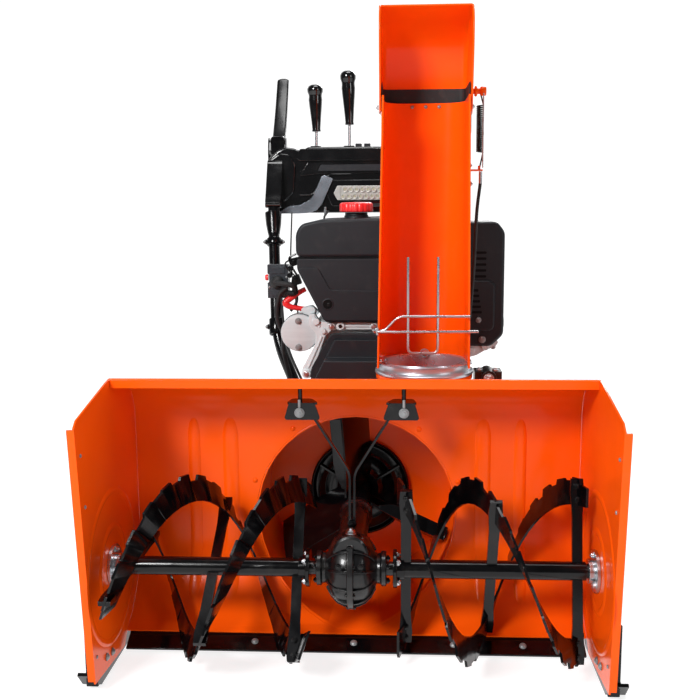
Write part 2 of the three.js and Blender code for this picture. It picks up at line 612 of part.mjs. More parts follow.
housing();
drive();
impellerSet();
engine();
transmission();
chuteSet();
controls();
machine.position.set(0, -MIDDLE_Y, 0);

export default machine;
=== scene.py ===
"""Looks of the two stage snowblower, in metres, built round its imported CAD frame."""
import json
import math

import bmesh
import bpy
from mathutils import Matrix, Vector


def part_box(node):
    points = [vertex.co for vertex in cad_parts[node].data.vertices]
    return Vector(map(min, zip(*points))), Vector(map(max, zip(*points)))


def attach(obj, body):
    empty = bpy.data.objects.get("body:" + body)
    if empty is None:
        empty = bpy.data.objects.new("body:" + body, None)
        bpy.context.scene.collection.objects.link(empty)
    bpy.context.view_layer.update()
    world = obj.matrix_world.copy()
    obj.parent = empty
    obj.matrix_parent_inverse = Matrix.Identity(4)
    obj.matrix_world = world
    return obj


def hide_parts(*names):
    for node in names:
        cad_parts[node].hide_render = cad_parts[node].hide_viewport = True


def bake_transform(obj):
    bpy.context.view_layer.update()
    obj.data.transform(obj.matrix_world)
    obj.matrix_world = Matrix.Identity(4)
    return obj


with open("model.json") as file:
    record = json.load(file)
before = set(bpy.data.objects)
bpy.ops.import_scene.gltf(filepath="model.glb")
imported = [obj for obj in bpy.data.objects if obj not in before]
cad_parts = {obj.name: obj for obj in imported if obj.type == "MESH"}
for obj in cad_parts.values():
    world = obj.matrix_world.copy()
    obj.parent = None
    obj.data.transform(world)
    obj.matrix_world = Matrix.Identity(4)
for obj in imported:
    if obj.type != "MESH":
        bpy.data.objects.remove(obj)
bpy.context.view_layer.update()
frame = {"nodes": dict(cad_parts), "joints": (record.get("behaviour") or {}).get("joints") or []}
NODES = frame["nodes"]
PIVOT = {joint["name"]: Vector(joint.get("pos_m", (0, 0, 0))) for joint in frame["joints"]}

MM = 0.001
X, Y, Z = Vector((1, 0, 0)), Vector((0, 1, 0)), Vector((0, 0, 1))
SIDES = (("left", -1), ("right", 1))
CHASSIS = "chassis"


def low(node):
    """A node's lowest corner at rest."""
    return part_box(node)[0]


def high(node):
    """A node's highest corner at rest."""
    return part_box(node)[1]


def middle(node):
    """The middle of a node's box at rest."""
    return (low(node) + high(node)) / 2


# ---- Materials ----

def colour_of(code):
    """A hex colour as the linear colour that a shader takes."""
    values = [int(code[i:i + 2], 16) / 255 for i in (0, 2, 4)]
    return [v / 12.92 if v <= 0.04045 else ((v + 0.055) / 1.055) ** 2.4 for v in values] + [1]


# The slot of each finish, by its material's name.
SLOTS = {}


def surface(name, slot, code, roughness, metallic=0.0, coat=0.0, clouds=0.08, grain=0.0, grain_scale=900,
            streaks=None, dust=0.0, dust_code="8A8378", spread=0.08, gloss=0.5):
    """A procedural finish: colour clouds, a varied roughness, a fine grain and a little dust in patches."""
    made = bpy.data.materials.new(name)
    made.use_nodes = True
    SLOTS[made.name] = slot
    tree = made.node_tree
    nodes, link = tree.nodes, tree.links.new
    shader = nodes["Principled BSDF"]
    shader.inputs["Metallic"].default_value = metallic
    shader.inputs["Coat Weight"].default_value = coat
    shader.inputs["Specular IOR Level"].default_value = gloss
    shader.inputs["Coat Roughness"].default_value = 0.06
    place = nodes.new("ShaderNodeTexCoord").outputs["Object"]
    if streaks:
        stretch = nodes.new("ShaderNodeMapping")
        stretch.inputs["Scale"].default_value = streaks
        link(place, stretch.inputs["Vector"])
        place = stretch.outputs["Vector"]

    def noise(scale, detail):
        """Noise over the piece, from 0 to 1."""
        node = nodes.new("ShaderNodeTexNoise")
        node.inputs["Scale"].default_value = scale
        node.inputs["Detail"].default_value = detail
        link(place, node.inputs["Vector"])
        return node.outputs["Fac"]

    def ramp(source, start, end, first, last):
        """A value carried from one range to another."""
        node = nodes.new("ShaderNodeMapRange")
        for key, value in (("From Min", start), ("From Max", end), ("To Min", first), ("To Max", last)):
            node.inputs[key].default_value = value
        link(source, node.inputs["Value"])
        return node.outputs["Result"]

    def mix(factor, first, second):
        """Two colours mixed, each a constant or a socket."""
        node = nodes.new("ShaderNodeMix")
        node.data_type = "RGBA"
        link(factor, node.inputs["Factor"])
        for socket, value in ((node.inputs[6], first), (node.inputs[7], second)):
            if isinstance(value, list):
                socket.default_value = value
            else:
                link(value, socket)
        return node.outputs[2]

    base = colour_of(code)
    cloud = noise(7, 3)
    shades = [[min(1, channel * factor) for channel in base[:3]] + [1] for factor in (1 - clouds, 1 + clouds)]
    colour = mix(ramp(cloud, 0.3, 0.7, 0, 1), *shades)
    if dust:
        colour = mix(ramp(noise(38, 8), 0.56, 0.78, 0, dust), colour, colour_of(dust_code))
    link(colour, shader.inputs["Base Color"])
    rough = ramp(noise(23, 6), 0.25, 0.75, max(0.03, roughness - spread), roughness + spread)
    link(rough, shader.inputs["Roughness"])
    if grain:
        bump = nodes.new("ShaderNodeBump")
        bump.inputs["Strength"].default_value = grain
        bump.inputs["Distance"].default_value = 0.4 * MM
        link(noise(grain_scale, 2), bump.inputs["Height"])
        link(bump.outputs["Normal"], shader.inputs["Normal"])
    return made


ORANGE = surface("orange_paint", "orange_paint", "FF5A08", 0.2, clouds=0.04, grain=0.05, grain_scale=220,
                 dust=0.03, dust_code="C98A5A", spread=0.05, gloss=0.16)
BLACK_PAINT = surface("black_paint", "black_paint", "060608", 0.18, coat=0.12, clouds=0.2, grain=0.12,
                      grain_scale=300, dust=0.04, gloss=0.25)
CAST_BLACK = surface("black_casting", "iron", "0A0A0C", 0.3, coat=0.25, clouds=0.2, grain=0.4,
                     grain_scale=700, dust=0.06, gloss=0.35)
PLASTIC = surface("moulded_plastic", "black_plastic", "1A1D22", 0.46, clouds=0.06, grain=0.45,
                  grain_scale=1500, dust=0.04, gloss=0.3)
BLACK_PLASTIC = surface("black_plastic", "black_plastic", "08080A", 0.28, coat=0.15, clouds=0.1, grain=0.15,
                        grain_scale=900, dust=0.03, gloss=0.35)
GLOSS_PLASTIC = surface("gloss_plastic", "gloss_plastic", "050507", 0.14, coat=0.4, clouds=0.12, grain=0.02,
                        grain_scale=400, dust=0.01)
ZINC = surface("zinc_plate", "zinc", "C4C6CA", 0.28, metallic=1.0, clouds=0.12, grain=0.12, grain_scale=500,
               dust=0.12, dust_code="9A938A")
DULL_ZINC = surface("dull_zinc", "zinc", "8C8D8E", 0.38, metallic=0.4, clouds=0.2, grain=0.2,
                    grain_scale=500, dust=0.2)
CHROME = surface("bright_zinc", "zinc", "C9CED6", 0.3, metallic=0.8, clouds=0.1, grain=0.06, grain_scale=300,
                 dust=0.05, dust_code="9A938A")
BRUSHED = surface("brushed_alloy", "alloy", "C2CACC", 0.5, metallic=0.0, clouds=0.08, grain=0.3,
                  grain_scale=380, streaks=(1, 1, 9), dust=0.1)
CASTING = surface("cast_alloy", "alloy", "CCD3D5", 0.55, metallic=0.0, clouds=0.14, grain=0.8,
                  grain_scale=900, dust=0.2)
SOOT = surface("muffler_steel", "iron", "030304", 0.7, clouds=0.3, grain=0.4, grain_scale=700, dust=0.02,
               gloss=0.15)
RUBBER = surface("rubber", "rubber", "121214", 0.66, clouds=0.15, grain=0.6, grain_scale=1100, dust=0.08)
TYRE = surface("tyre_rubber", "tyre", "121213", 0.8, clouds=0.2, grain=0.8, grain_scale=800, dust=0.22,
               dust_code="6B6459")
RED = surface("red_plastic", "red_plastic", "EE2A2C", 0.33, coat=0.2, clouds=0.06, grain=0.3, grain_scale=900)
DARK_GREY = surface("dark_grey_plastic", "grey_plastic", "2E3238", 0.25, coat=0.2, clouds=0.1, grain=0.3,
                    grain_scale=900, dust=0.05)
SILVER_TRIM = surface("silver_trim", "grey_plastic", "B4BBC6", 0.2, metallic=0.85, coat=0.3, clouds=0.3,
                      grain=0.03, grain_scale=300)
REFLECTOR = surface("reflector", "lens", "ECEBE6", 0.18, metallic=0.55, clouds=0.1, grain=0.1,
                    grain_scale=700)
LAMP_BACK = surface("lamp_back", "lens", "C4C4C0", 0.3, metallic=0.3, clouds=0.1, grain=0.1, grain_scale=700)
LED = surface("led_phosphor", "lens", "B9B49A", 0.4, clouds=0.1, grain=0.1, grain_scale=900)
WHITE_NYLON = surface("white_nylon", "lens", "CFCBC6", 0.45, clouds=0.06, grain=0.2, grain_scale=900,
                      dust=0.1)


# ---- Shapes ----

AUGER = PIVOT["auger_spin"]
FRONT_Y = AUGER.y - 124 * MM


def at(x, y, z):
    """A point in mm, its y counted back from the front edge of the side plates."""
    return Vector((x * MM, FRONT_Y + y * MM, z * MM))


def frame_to(origin, axis):
    """The matrix that stands local +Z along an axis at a point."""
    axis = Vector(axis).normalized()
    hint = X if abs(axis.x) < 0.9 else Y
    side = (hint - axis * hint.dot(axis)).normalized()
    turn = Matrix((side, axis.cross(side), axis)).transposed().to_4x4()
    return Matrix.Translation(Vector(origin)) @ turn


def arc(centre, radius, start, end, steps):
    """Points on a circle in a plane, from one angle to another in degrees."""
    angles = [math.radians(start + (end - start) * i / steps) for i in range(steps + 1)]
    return [(centre[0] + radius * math.cos(a), centre[1] + radius * math.sin(a)) for a in angles]


def bent_corner(before, corner, after, radius, steps):
    """Points on a smooth curve that cuts off a corner."""
    into, out = corner - before, after - corner
    cut = min(radius, into.length * 0.45, out.length * 0.45)
    start, end = corner - into.normalized() * cut, corner + out.normalized() * cut
    shares = [k / steps for k in range(steps + 1)]
    return [start * (1 - t) ** 2 + corner * 2 * t * (1 - t) + end * t * t for t in shares]


def rounded(outline, radius, steps=4):
    """A closed outline with each corner turned into a short curve."""
    if not radius:
        return outline
    places = [Vector(place) for place in outline]
    made = []
    for i, corner in enumerate(places):
        after = places[(i + 1) % len(places)]
        made += [tuple(place) for place in bent_corner(places[i - 1], corner, after, radius, steps)]
    return made


def smooth_path(points, bend, steps=6):
    """Points joined by straight stretches, with a smooth bend, in mm, at each corner."""
    points = [Vector(p) for p in points]
    made = [points[0]]
    for before, corner, after in zip(points, points[1:], points[2:]):
        made += bent_corner(before, corner, after, bend * MM, steps)
    return made + [points[-1]]


def direction_at(points, i):
    """The way that a path runs at one of its points."""
    return (points[min(i + 1, len(points) - 1)] - points[max(i - 1, 0)]).normalized()


class Shape:
    """Gathers closed forms into one mesh and finishes it as a piece that rides on a body."""

    def __init__(self):
        self.bm = bmesh.new()

    def rings(self, rings, loop=False):
        """Faces between rings of points, with end caps, or with the last ring joined to the first."""
        loops = [[self.bm.verts.new(p) for p in ring] for ring in rings]
        count = len(loops[0])
        pairs = list(zip(loops, loops[1:])) + ([(loops[-1], loops[0])] if loop else [])
        for one, two in pairs:
            for i in range(count):
                j = (i + 1) % count
                self.bm.faces.new((one[i], one[j], two[j], two[i]))
        if not loop:
            self.bm.faces.new(list(reversed(loops[0])))
            self.bm.faces.new(loops[-1])
        return self

    def turned(self, origin, axis, profile, steps=32):
        """A body turned round an axis from (radius, height) in mm; off the axis at both ends it is hollow."""
        place = frame_to(origin, axis)
        hollow = profile[0][0] > 0 and profile[-1][0] > 0
        rings = []
        for radius, height in profile:
            radius, height = max(radius * MM, 1e-5), height * MM
            rings.append([place @ Vector((radius * math.cos(a), radius * math.sin(a), height))
                          for a in (math.tau * i / steps for i in range(steps))])
        return self.rings(rings, loop=hollow)

    def disc(self, origin, axis, radius, height, steps=32, chamfer=0.0):
        """A solid cylinder, with small chamfers when they are asked for."""
        profile = [(0, 0), (radius, 0), (radius, height), (0, height)]
        if chamfer:
            inner = radius - chamfer
            profile[1:3] = [(inner, 0), (radius, chamfer), (radius, height - chamfer), (inner, height)]
        return self.turned(origin, axis, profile, steps)

    def prism(self, axis, outline, start, end):
        """An outline across an axis, its two places in the order x, y, z, made solid between two stations."""
        def put(a, b, c):
            return {"X": (c, a, b), "Y": (a, c, b), "Z": (a, b, c)}[axis]
        rings = [[put(a, b, c) for a, b in outline] for c in (start, end)]
        return self.rings(rings)

    def box(self, one, two):
        """A box between two opposite corners, in metres."""
        outline = [(one[0], one[1]), (two[0], one[1]), (two[0], two[1]), (one[0], two[1])]
        return self.prism("Z", outline, one[2], two[2])

    def tube(self, points, radius, sides=12, radii=None):
        """A round bar along points, its radius in mm, its section carried with the least turning."""
        points = [Vector(p) for p in points]
        normal = None
        rings = []
        for i, point in enumerate(points):
            tangent = direction_at(points, i)
            if normal is None:
                normal = tangent.orthogonal().normalized()
            normal = (normal - tangent * normal.dot(tangent)).normalized()
            other = tangent.cross(normal)
            size = radii[i] if radii else radius
            rings.append([point + (normal * math.cos(a) + other * math.sin(a)) * size * MM
                          for a in (math.tau * k / sides for k in range(sides))])
        return self.rings(rings)

    def strip(self, points, across, width, thickness):
        """A flat strap along points, its width lying along the direction across."""
        points = [Vector(p) for p in points]
        across = Vector(across).normalized()
        rings = []
        for i, point in enumerate(points):
            tangent = direction_at(points, i)
            out = tangent.cross(across).normalized()
            flat = out.cross(tangent).normalized()
            w, t = flat * width * MM / 2, out * thickness * MM / 2
            rings.append([point + w + t, point - w + t, point - w - t, point + w - t])
        return self.rings(rings)

    def sheet(self, grid, thickness):
        """A sheet through a grid of points (rows of equal length), thickened to both sides."""
        rows, columns = len(grid), len(grid[0])
        grid = [[Vector(p) for p in row] for row in grid]

        def normal(r, c):
            down = grid[min(r + 1, rows - 1)][c] - grid[max(r - 1, 0)][c]
            along = grid[r][min(c + 1, columns - 1)] - grid[r][max(c - 1, 0)]
            return down.cross(along).normalized() * thickness * MM / 2

        front = [[self.bm.verts.new(grid[r][c] + normal(r, c)) for c in range(columns)] for r in range(rows)]
        back = [[self.bm.verts.new(grid[r][c] - normal(r, c)) for c in range(columns)] for r in range(rows)]
        for r in range(rows - 1):
            for c in range(columns - 1):
                self.bm.faces.new((front[r][c], front[r + 1][c], front[r + 1][c + 1], front[r][c + 1]))
                self.bm.faces.new((back[r][c], back[r][c + 1], back[r + 1][c + 1], back[r + 1][c]))
        edge = [(0, c) for c in range(columns)] + [(r, columns - 1) for r in range(1, rows)]
        edge += [(rows - 1, c) for c in reversed(range(columns - 1))]
        edge += [(r, 0) for r in reversed(range(1, rows - 1))]
        for (r, c), (s, d) in zip(edge, edge[1:] + edge[:1]):
            self.bm.faces.new((front[r][c], front[s][d], back[s][d], back[r][c]))
        return self

    def bolt(self, place, axis, size, washer=True, dome=False):
        """A bolt head on a surface: a hexagon or a dome on a washer; size is the thread's radius in mm."""
        place, axis = Vector(place), Vector(axis).normalized()
        if washer:
            self.disc(place, axis, size * 2.1, size * 0.4, 20, size * 0.08)
            place = place + axis * size * 0.4 * MM
        head = ((0, 0), (1.72, 0), (1.72, 1.05), (1.5, 1.25), (0, 1.25))
        if dome:
            head = ((0, 0), (1.7, 0), (1.6, 0.35), (1.1, 0.85), (0, 1.05))
        profile = [(size * radius, size * height) for radius, height in head]
        self.turned(place, axis, profile, 20 if dome else 6)
        if not dome:
            self.disc(place + axis * size * 1.2 * MM, axis, size * 0.82, size * 0.7, 12, size * 0.1)

    def piece(self, name, body, look, bevel=0.8, segments=2, smooth=38, stands_for=(), slot=None):
        """Ends the mesh as an object on a body of the frame, its edges softened by a bevel in mm."""
        bmesh.ops.remove_doubles(self.bm, verts=self.bm.verts, dist=1e-6)
        bmesh.ops.recalc_face_normals(self.bm, faces=self.bm.faces)
        mesh = bpy.data.meshes.new(name)
        self.bm.to_mesh(mesh)
        self.bm.free()
        mesh.materials.append(look)
        made = bpy.data.objects.new(name, mesh)
        bpy.context.scene.collection.objects.link(made)
        finish_edges(made, bevel, segments, smooth)
        if body:
            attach(made, body)
        slot = slot or SLOTS[look.name]
        if stands_for:
            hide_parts(*stands_for)
        return made


def finish_edges(item, bevel, segments, smooth):
    """Smooth shading with a bevel, in mm, on edges sharper than an angle in degrees."""
    item.data.shade_smooth()
    if bevel:
        modifier = item.modifiers.new("edges", "BEVEL")
        modifier.width = bevel * MM
        modifier.segments = segments
        modifier.limit_method = "ANGLE"
        modifier.angle_limit = math.radians(smooth)
        modifier.harden_normals = True
        modifier.use_clamp_overlap = True
    item.data.set_sharp_from_angle(angle=math.radians(smooth))


def dress(look, bevel, *names, smooth=38):
    """Gives CAD nodes that are shown as they are a finish and soft edges."""
    for name in names:
        item = NODES[name]
        item.data.materials.clear()
        item.data.materials.append(look)
        if "custom_normal" in item.data.attributes:
            item.data.attributes.remove(item.data.attributes["custom_normal"])
        weld = item.modifiers.new("weld", "WELD")
        weld.merge_threshold = 0.02 * MM
        finish_edges(item, bevel, 2, smooth)


def plate(shape, outline, front, back, corner=4):
    """A plate across the machine, from an outline of (x, z), between two depths."""
    face = [(x * MM, z * MM) for x, z in rounded(outline, corner)]
    return shape.prism("Y", face, FRONT_Y + front * MM, FRONT_Y + back * MM)


def side_plate(shape, outline, start, end, corner):
    """A plate facing sideways, from an outline of (y, z), between two places across the machine."""
    face = [(FRONT_Y + y * MM, z * MM) for y, z in rounded(outline, corner)]
    return shape.prism("X", face, start * MM, end * MM)


def level_plate(shape, outline, bottom, top, corner):
    """A level plate, from an outline of (x, y), between two heights."""
    face = [(x * MM, FRONT_Y + y * MM) for x, y in rounded(outline, corner)]
    return shape.prism("Z", face, bottom * MM, top * MM)


def plates(name, look, layers, *finish, **more):
    """A piece on the chassis made of plates across the machine, each (outline, front, back, corner)."""
    made = Shape()
    for layer in layers:
        plate(made, *layer)
    made.piece(name, CHASSIS, look, *finish, **more)


def bar(shape, points, bend, radius, sides=8):
    """A round bar through places (x, y, z), bent smoothly at each one."""
    return shape.tube(smooth_path([at(*point) for point in points], bend), radius, sides)


def bar_face(start, end, height, half):
    """The outline (x, z) of a level slot or rib."""
    return [(start, height - half), (start, height + half), (end, height + half), (end, height - half)]


def flipped(outline):
    """An outline (x, z) mirrored across the dash's middle, at x 5."""
    return [(10 - x, z) for x, z in outline]


def bolted(name, look, depth, places, size, bevel=0.3, **head):
    """A piece of bolt heads that face forward, at places (x, z)."""
    made = Shape()
    for x, z in places:
        made.bolt(at(x, depth, z), -Y, size, **head)
    made.piece(name, CHASSIS, look, bevel)


# ---- Augers ----

AUGER_R, RIBBON = 165, 49
AUGER_IN, AUGER_OUT = 83, 413


def around_auger(x, radius, degrees):
    """A place in mm from the middle along the auger's axis and from that axis."""
    a, radius = math.radians(degrees), radius * MM
    return Vector((x * MM, AUGER.y + radius * math.cos(a), AUGER.z + radius * math.sin(a)))


def ribbon(shape, angle_at, sign, start, lean):
    """One helical flight with a stepped, saw-like outer edge, its inner edge leaning toward the gearbox."""
    teeth, half, root = 17, 2.25, AUGER_R - RIBBON
    rings = []
    for tooth in range(teeth):
        cut = (6, 14, 9)[tooth % 3]
        for share, drop in ((0.0, cut), (0.06, 0.0), (0.5, 1.0), (0.55, cut * 0.8), (0.98, cut)):
            out = AUGER_IN + (AUGER_OUT - AUGER_IN) * (tooth + share) / teeth
            degrees = angle_at(out) + start
            inner, outer, edge = sign * (out - lean), sign * out, AUGER_R - drop
            rings.append([around_auger(x, radius, degrees) for x, radius in (
                (inner - half, root), (outer - half, edge), (outer + half, edge), (inner + half, root))])
    shape.rings(rings)


def auger(side, sign, angle_at, lean):
    """Two flights on a tube with three double spokes, and the bolted flange that meets the gearbox."""
    def on_shaft(out):
        return around_auger(sign * out, 0, 0)

    shape = Shape()
    for start in (0, 180):
        ribbon(shape, angle_at, sign, start, lean)
    length = AUGER_OUT - AUGER_IN
    shape.turned(on_shaft(AUGER_IN), X * sign, [(13, 0), (16.5, 0), (16.5, length), (13, length)])
    for place in (AUGER_IN + 14, (AUGER_IN + AUGER_OUT) / 2, AUGER_OUT - 14):
        turn = Matrix.Rotation(math.radians(angle_at(place)), 4, "X")

        def put(across, radial, lift):
            return on_shaft(place) + turn @ Vector((across, radial, lift)) * MM

        for end in (-1, 1):
            shape.rings([[put(a * half, radial * end, b * 4) for a, b in ((1, 1), (-1, 1), (-1, -1), (1, -1))]
                         for radial, half in ((14, 9), (96, 9), (118, 10.5), (140, 12), (163, 10.5))])
            for radial in (126, 150):
                shape.bolt(put(0, radial * end, 4), turn @ Z, 2.8)
    shape.piece(f"auger_{side}_ribbons", "augers", BLACK_PAINT, 0.7, 2, 30, [f"auger_{side}"])
    flange = [(13, 0), (33, 0), (34, 1), (34, 6), (33, 7), (13, 7)]
    hub = Shape().turned(on_shaft(AUGER_IN - 9), X * sign, flange)
    hub.turned(on_shaft(AUGER_IN - 3), X * sign, [(13, 0), (21, 0), (20, 14), (13, 14)], 24)
    hub.piece(f"auger_{side}_flange", "augers", BLACK_PAINT)
    bolts = Shape()
    for k in range(4):
        bolts.bolt(around_auger(sign * (AUGER_IN - 2), 26, 45 + 90 * k), X * sign, 3.0)
    bolts.piece(f"auger_{side}_flange_bolts", "augers", ZINC, 0.3)


def augers():
    """Both augers, the left one evenly coiled and the right one with a coil that opens outward."""
    coil_start, coil_slope, coil_easing = 85, 1.437, 0.001

    def opening_coil(x):
        along = x - AUGER_IN
        return coil_start + coil_slope * along - coil_easing * along * along

    auger("left", -1, lambda x: x - 38, 14)
    auger("right", 1, opening_coil, 0)
    dress(ZINC, 0.8, "worm_wheel", "impeller_shaft")
    dress(CAST_BLACK, 0.8, "auger_shaft")


def gearbox():
    """A rounded worm gear casting with a split flange, ribs, bolts and a long neck back to the impeller."""
    half = [(31, 61), (31, 54), (27, 51), (26, 46), (30, 42), (44, 37), (54, 31), (60, 23), (63, 12),
            (63.5, 6), (71, 5.5), (72, 4.5)]
    whole = [(r, -x) for r, x in half] + [(r, x) for r, x in reversed(half)]
    case = Shape().turned(AUGER, X, [(0, -62), (28, -62), *whole, (28, 62), (0, 62)], 64)
    neck = [(0, 0), (27, 0), (31, 3), (32, 8), (30, 13), (27, 18), (26, 60), (27, 140), (27, 204), (32, 209),
            (32, 224), (0, 224)]
    case.turned(at(0, 82, 230), Y, neck, 40)
    case.piece("gearbox_casting", CHASSIS, CAST_BLACK, 1.2, 2, 30, ["gearbox_case"])
    ribs = Shape()
    rib = [(4, 58), (4, 69), (14, 67), (25, 62), (36, 51), (44, 36), (40, 32), (30, 48), (16, 58)]
    neck_start, neck_end = 55, 125
    for degrees in range(15, 375, 30):
        if neck_start < degrees < neck_end:
            continue
        turn = Matrix.Rotation(math.radians(degrees), 4, "X")
        for sign in (-1, 1):
            ribs.rings([[AUGER + turn @ Vector((sign * a, b, c)) * MM for a, b in rib] for c in (-2.2, 2.2)])
    ribs.piece("gearbox_ribs", CHASSIS, CAST_BLACK, 0.9)
    bolts = Shape()
    for k in range(8):
        for sign in (-1, 1):
            bolts.bolt(around_auger(sign * 4.6, 67.4, 22.5 + 45 * k), X * sign, 2.6, washer=False)
    for sign in (-1, 1):
        for degrees in (30, 150, 270):
            bolts.bolt(around_auger(sign * 62.2, 23, degrees), X * sign, 3.0)
    front, top = low("gearbox_case").y, high("gearbox_case").z
    impeller_z = PIVOT["impeller_spin"].z
    for degrees in (90, 210, 330):
        a = math.radians(degrees)
        bolts.bolt((22 * MM * math.cos(a), front, impeller_z + 22 * MM * math.sin(a)), -Y, 2.6)
    bolts.piece("gearbox_bolts", CHASSIS, BLACK_PAINT, 0.3)
    plug = Shape()
    plug.bolt((0, front + 52 * MM, top - 3 * MM), Z, 4.6)
    plug.piece("gearbox_filler_plug", CHASSIS, ZINC, 0.3)


# ---- Impeller ----

def impeller():
    """Dished disc with rings and ribs, and three pitched throwing blades with flanges, tips and gussets."""
    front, back = low("impeller").y, high("impeller").y
    axis_z = PIVOT["impeller_spin"].z
    root = Vector((0, back - 6 * MM, axis_z))
    disc = Shape()
    dish = [(12, 6), (26, 0), (40, 0), (48, 9), (62, 12), (74, 9), (82, 14), (94, 15), (101, 10), (105, 12),
            (105, 17), (98, 20), (60, 20), (12, 20)]
    disc.turned(root, -Y, [(r, 14 - h) for r, h in dish], 56)
    for k in range(6):
        turn = Matrix.Rotation(math.radians(60 * k + 30), 4, "Y")
        rib = [(28, 0), (98, 0), (98, 3), (60, 10), (28, 14)]
        disc.rings([[root + (turn @ Vector((a, -b, c)) - Y * 4) * MM for a, b in rib] for c in (-2.5, 2.5)])
    disc.disc((0, front, axis_z), Y, 24, (back - front) / MM, 28, 1.5)
    centre = Vector((0, (front + back) / 2, axis_z))
    pitch = Matrix.Rotation(math.radians(-18), 4, "X")
    start, length, reach = 20, 163, 73

    def curl(radial):
        """How far a blade has curled over at a distance from the axis."""
        return 9 * ((radial - start) / length) ** 2

    for degrees in (90, 210, 330):
        turn = Matrix.Rotation(math.radians(-degrees), 4, "Y")

        def put(radial, along, lift):
            return centre + turn @ (pitch @ Vector((radial, along * reach, lift))) * MM

        rows = []
        for i in range(9):
            radial = start + length * i / 8
            rows.append([put(radial, s, curl(radial) + 5 * (s * s - 1) * i / 8)
                         for s in (-1, -0.8, -0.4, 0, 0.4, 0.8, 1)])
        disc.sheet(rows, 4.5)
        disc.sheet([[put(r, -0.97, curl(r) + w * min(1, (r - 28) / 40)) for w in (0, 8, 16, 25)]
                    for r in (38, 60, 90, 120, 150, 180)], 4)
        disc.sheet([[put(r, s, 9 + w) for s in (-1, 0, 1)]
                    for r, w in ((182, 0), (182.5, 7), (182, 14), (179, 20))], 4)
        gusset = [(30, 0.98), (100, 0.98), (100, 0.9), (40, 0.55), (30, 0.55)]
        disc.rings([[put(a, b, c) for a, b in gusset] for c in (3, 7)])
    disc.piece("impeller_rotor_blades", "impeller_rotor", BLACK_PAINT, 0.8, 2, 32, ["impeller"])
    dress(BLACK_PAINT, 0.8, "impeller_pulley")
    dress(ZINC, 0.8, "engine_pulley", "traction_disc", "friction_wheel")
    dress(RUBBER, 0.5, "auger_belt", "traction_belt")


# ---- Housing ----

def housing():
    """Pressed steel shell with its lip, stamped panels and reliefs, fasteners, straps and wear parts."""
    dress(ORANGE, 1.1, "housing_wrap", "impeller_drum", "side_plate_left", "side_plate_right", smooth=30)
    dress(BLACK_PAINT, 1.2, "scraper_blade", "skid_shoe_left", "skid_shoe_right")
    dress(ZINC, 0.8, "shaft_bearing_left", "shaft_bearing_right")
    panels()
    housing_fasteners()
    support_straps()


def panels():
    """The lip's rolled edge and hem, and the long shallow panels pressed into the back wall."""
    half, _, top = high("housing_wrap")
    edge = FRONT_Y + 153.5 * MM
    trim = Shape()
    for forward, drop, radius, sides in ((1.2, 2.4, 3.0, 14), (0.4, 15, 1.8, 12)):
        y, z = edge + forward * MM, top - drop * MM
        trim.tube([(-half, y, z), (half, y, z)], radius, sides)
    belly = at(0, 125, 200)
    wall = 180

    def on_wall(distance):
        """A place on the inner face and the way it faces, by the distance up from where it curves forward."""
        if distance >= 0:
            return belly + Vector((0, wall, distance)) * MM, -Y
        a = distance / wall
        out = Vector((0, math.cos(a), math.sin(a)))
        return belly + out * wall * MM, -out

    half_section = ((-1.0, -1.5), (-0.82, 0.6), (-0.6, 2.0), (-0.3, 2.5))
    section = half_section + tuple((-a, h) for a, h in reversed(half_section))
    steps = 32
    for x, wide in ((-318, 13), (-246, 17), (246, 17), (318, 13)):
        rows = []
        for step in range(steps + 1):
            ends = min(1, step / 3, (steps - step) / 3) ** 0.5
            place, face = on_wall(-150 + 372 * step / steps)
            reach, sink = wide * (0.35 + 0.65 * ends), 0.8 * (1 - ends)
            rows.append([place + (X * (x + a * reach) + face * (h * ends - sink)) * MM for a, h in section])
        trim.sheet(rows, 0.8)
    trim.piece("housing_lip_and_panels", CHASSIS, ORANGE, 0, smooth=60)


